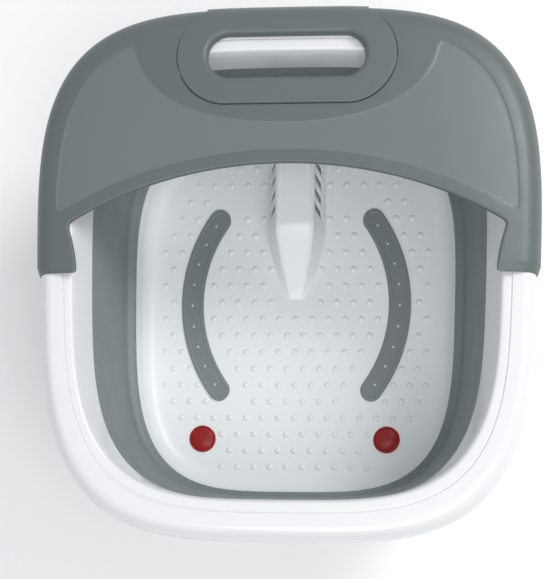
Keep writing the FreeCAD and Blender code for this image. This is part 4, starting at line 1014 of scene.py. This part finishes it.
def strip_piece(name, side):
    """Curved bubble strip with rounded edges, a shallow channel and a row of air holes."""
    edge_radius, hole_radius, hole_edge, hole_count, end_gap = 1.2, 1.3, 0.6, 9, 6.0
    border, channel_ramp, channel_depth = 3.2, 0.6, 0.35
    along_step, across_step, across_count, spare = 1.0, 0.75, 29, 0.5
    half_width = STRIP_WIDTH / 2
    reach = STRIP_HALF_ANGLE * STRIP_RADIUS
    bend_x = side * (STRIP_OUT_X - STRIP_RADIUS)
    spacing, last_hole = 2 * (reach - end_gap) / (hole_count - 1), hole_count // 2

    def surface(along, across):
        angle, radius = along / STRIP_RADIUS, STRIP_RADIUS + across
        x, y = bend_x + side * radius * math.cos(angle), STRIP_Y + radius * math.sin(angle)
        return Vector((x, y, TUB_FLOOR + STRIP_HEIGHT)), Vector((0, 0, 1))

    def band_edge(along, across):
        return half_width - math.hypot(max(abs(along) - reach, 0.0), across)

    def hole_distance_at(along, across):
        nearest = min(max(round(along / spacing), -last_hole), last_hole)
        return math.hypot(along - nearest * spacing, across) - hole_radius

    def keep(along, across):
        return min(band_edge(along, across), hole_distance_at(along, across))

    def lift(along, across):
        edge = band_edge(along, across)
        channel = channel_depth * smooth_step((edge - border) / channel_ramp)
        hole_drop = edge_drop(hole_distance_at(along, across), hole_edge)
        return -channel - edge_drop(edge, edge_radius) - hole_drop

    first_along, first_across = -reach - half_width - spare, -half_width - spare
    columns = [first_along + along_step * i for i in range(int(2 * (reach + half_width) + 2))]
    rows = [first_across + across_step * i for i in range(across_count)]
    fields = [
        (band_edge, edge_levels(edge_radius) + [border, border + channel_ramp / 2, border + channel_ramp]),
        (hole_distance_at, edge_levels(hole_edge, 3)),
    ]
    shape = sheet(columns, rows, surface, fields, keep, lift, STRIP_HEIGHT)
    piece = make_piece("bubble_band_" + name, shape, STRIP_GREY)
    stands_for(piece, "bubble_strip_" + name, "base")


def lens_piece(name, side):
    """Red domed window: seating ring, fine ridge and dome."""
    dome_radius, dome_rise, dome_low, steps = 10.0, 1.9, 1.15, 9
    profile = [
        (8.4, -6.0), (8.4, -0.1), (LENS_RADIUS, -0.1), (LENS_RADIUS, 0.7), (LENS_RADIUS - 0.3, 1.1),
        (LENS_RADIUS - 0.8, 1.3), (10.8, 1.3), (10.4, 0.9), (10.2, 0.9),
    ]
    for i in range(steps):
        radius = dome_radius * (1 - i / (steps - 0.6))
        profile.append((radius, dome_low + dome_rise * (1 - (radius / (dome_radius + 0.4)) ** 2)))
    shape = lathe(profile, (side * LENS_X, LENS_Y, TUB_FLOOR), count=64)
    piece = make_piece("lamp_window_" + name, shape, LENS_RED)
    stands_for(piece, "light_lens_" + name, "base")


# ---- button ----
def button_piece():
    """Round button with a dished face."""
    profile = [
        (0.6, 0.45), (5.6, 0.25), (7.4, 0.0), (8.2, 0.1), (8.8, 0.5), (9.0, 1.2), (9.0, 6.0),
        (2.5, 6.0), (2.5, 9.0),
    ]
    piece = make_piece("push_button", lathe(profile, (0, BUTTON_FACE_Y, BUTTON_Z), axis="y"), BUTTON_WHITE)
    stands_for(piece, "button_cap", "button")


def spring_piece():
    """Coil spring behind the button."""
    low, high = box_mm("button_spring")
    wire, coil_radius, turns, around, per_turn = 0.4, 5.0, 4.4, 8, 24
    start, end = low.y - CENTRE_Y + wire, high.y - CENTRE_Y - wire
    steps = int(turns * per_turn)
    vertices = []
    for i in range(steps + 1):
        angle = math.tau * i / per_turn
        middle_y = start + (end - start) * i / steps
        for k in range(around):
            turn = math.tau * k / around
            radius, y = coil_radius + wire * math.cos(turn), middle_y + wire * math.sin(turn)
            vertices.append(Vector((radius * math.cos(angle), y, BUTTON_Z + radius * math.sin(angle))))
    faces = tube_faces(steps + 1, around) + end_faces(steps + 1, around)
    piece = make_piece("return_spring", (vertices, faces), STEEL)
    stands_for(piece, "button_spring", "base")
    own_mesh(piece)


# ---- CAD parts that stay, with a finish and softened edges ----
KEPT = [
    (STEEL, "frame_screws guard_screws base_screws heating_element thermostat blower_motor impeller_shaft "
            "vibration_motor vibration_shaft eccentric_weight inlet_pins"),
    (INNER_PLASTIC, "upper_clamp_ring lower_clamp_ring thermal_fuse blower_housing blower_lid air_manifold "
                    "vibration_bracket"),
    (DARK_PLASTIC, "blower_impeller board_components push_switch button_bezel power_inlet wire_harness"),
    (RUBBER, "tub_gasket lens_seals"),
    (BOARD_GREEN, "light_boards control_board"),
    (ALUMINIUM, "heater_plate"),
    (TUBE_CLEAR, "air_tube_left air_tube_right"),
]
SOFTENED = "button_bezel power_inlet lower_clamp_ring upper_clamp_ring"


def finish_kept_parts():
    """Gives the remaining CAD parts their material, and small bevels where their edges show."""
    for material, names in KEPT:
        for name in names.split():
            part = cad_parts[name]
            part.data.materials.clear()
            part.data.materials.append(material)
    for name in SOFTENED.split():
        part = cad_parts[name]
        weld = part.modifiers.new("weld", "WELD")
        weld.merge_threshold = 0.005 * MM
        bevel = part.modifiers.new("bevel", "BEVEL")
        bevel.width = 0.35 * MM
        bevel.segments = 2
        bevel.limit_method = "ANGLE"
        bevel.angle_limit = math.radians(40)


# ---- stage ----
def stage_floor():
    """Plain pale floor."""
    half, low, high = 3000.0, -20.0, -0.05
    corners = [(-half, -half), (half, -half), (half, half), (-half, half)]
    material = surface_material("studio_floor", (0.91, 0.91, 0.91), (0.9, 0.9, 0.9), 0.6, 5.0, 0.001,
                                patch_mm=900.0)
    slab = prism([Vector((x, y, z)) for z in (low, high) for x, y in corners])
    make_piece("studio_floor", slab, material)


def soft_light(name, position, aim, size, power):
    """Square area light aimed at a point."""
    data = bpy.data.lights.new(name, "AREA")
    data.shape, data.size, data.energy = "SQUARE", size, power
    light = add_object(name, data)
    light.location = position
    light.rotation_euler = (Vector(aim) - Vector(position)).to_track_quat("-Z", "Y").to_euler()


def studio():
    """Pale surroundings, a key light behind on the right and a softer one from the front."""
    bpy.context.scene.view_settings.view_transform = "Standard"
    world = bpy.data.worlds.new("studio")
    bpy.context.scene.world = world
    world.use_nodes = True
    set_inputs(world.node_tree.nodes["Background"], {"Color": (0.95, 0.97, 1.0, 1.0), "Strength": 0.64})
    soft_light("key", (1.05, 0.8, 1.45), (0, 0, 0.15), 0.7, 16.0)
    soft_light("front", (0.3, -0.75, 1.6), (0, 0.05, 0.1), 1.1, 12.5)


def lens_shift(data, view, home, name, amount):
    """Shifts the lens while the camera stands at home, and centres it when the camera is moved away."""
    still_home, away = 0.05, 0.1
    curve = data.driver_add(name)
    curve.driver.type = "SUM"
    distance = curve.driver.variables.new()
    distance.type = "LOC_DIFF"
    distance.targets[0].id, distance.targets[1].id = view, home
    for modifier in list(curve.modifiers):
        curve.modifiers.remove(modifier)
    for metres, value in ((0.0, amount), (still_home, amount), (away, 0.0)):
        curve.keyframe_points.insert(metres, value).interpolation = "LINEAR"


def camera():
    """Camera above the heel end, looking down and very slightly to the left and the toe end."""
    width_px, focal_px = 550.0, 1074.3
    tilt = [math.radians(degrees) for degrees in (-3.38, 3.76, 0.95)]
    data = bpy.data.cameras.new("camera")
    data.sensor_fit = "HORIZONTAL"
    data.sensor_width = 36.0
    data.lens = focal_px / width_px * data.sensor_width
    view, home = add_object("camera", data), add_object("camera_home", None)
    view.location = home.location = (0.0599, -0.2042, 1.0475)
    view.rotation_mode = "ZYX"
    view.rotation_euler = tilt
    lens_shift(data, view, home, "shift_x", -0.0196)
    lens_shift(data, view, home, "shift_y", 0.5709)
    bpy.context.scene.camera = view


def build():
    """Makes every visible piece."""
    rim_piece()
    frame_skirt_piece()
    splash_guard_piece()
    grip_insert_piece()
    soft_wall_piece()
    base_piece()
    feet_piece()
    footbed_piece()
    ridge_piece()
    for name, side in (("left", -1), ("right", 1)):
        strip_piece(name, side)
        lens_piece(name, side)
    button_piece()
    spring_piece()
    finish_kept_parts()


build()
stage_floor()
studio()
camera()
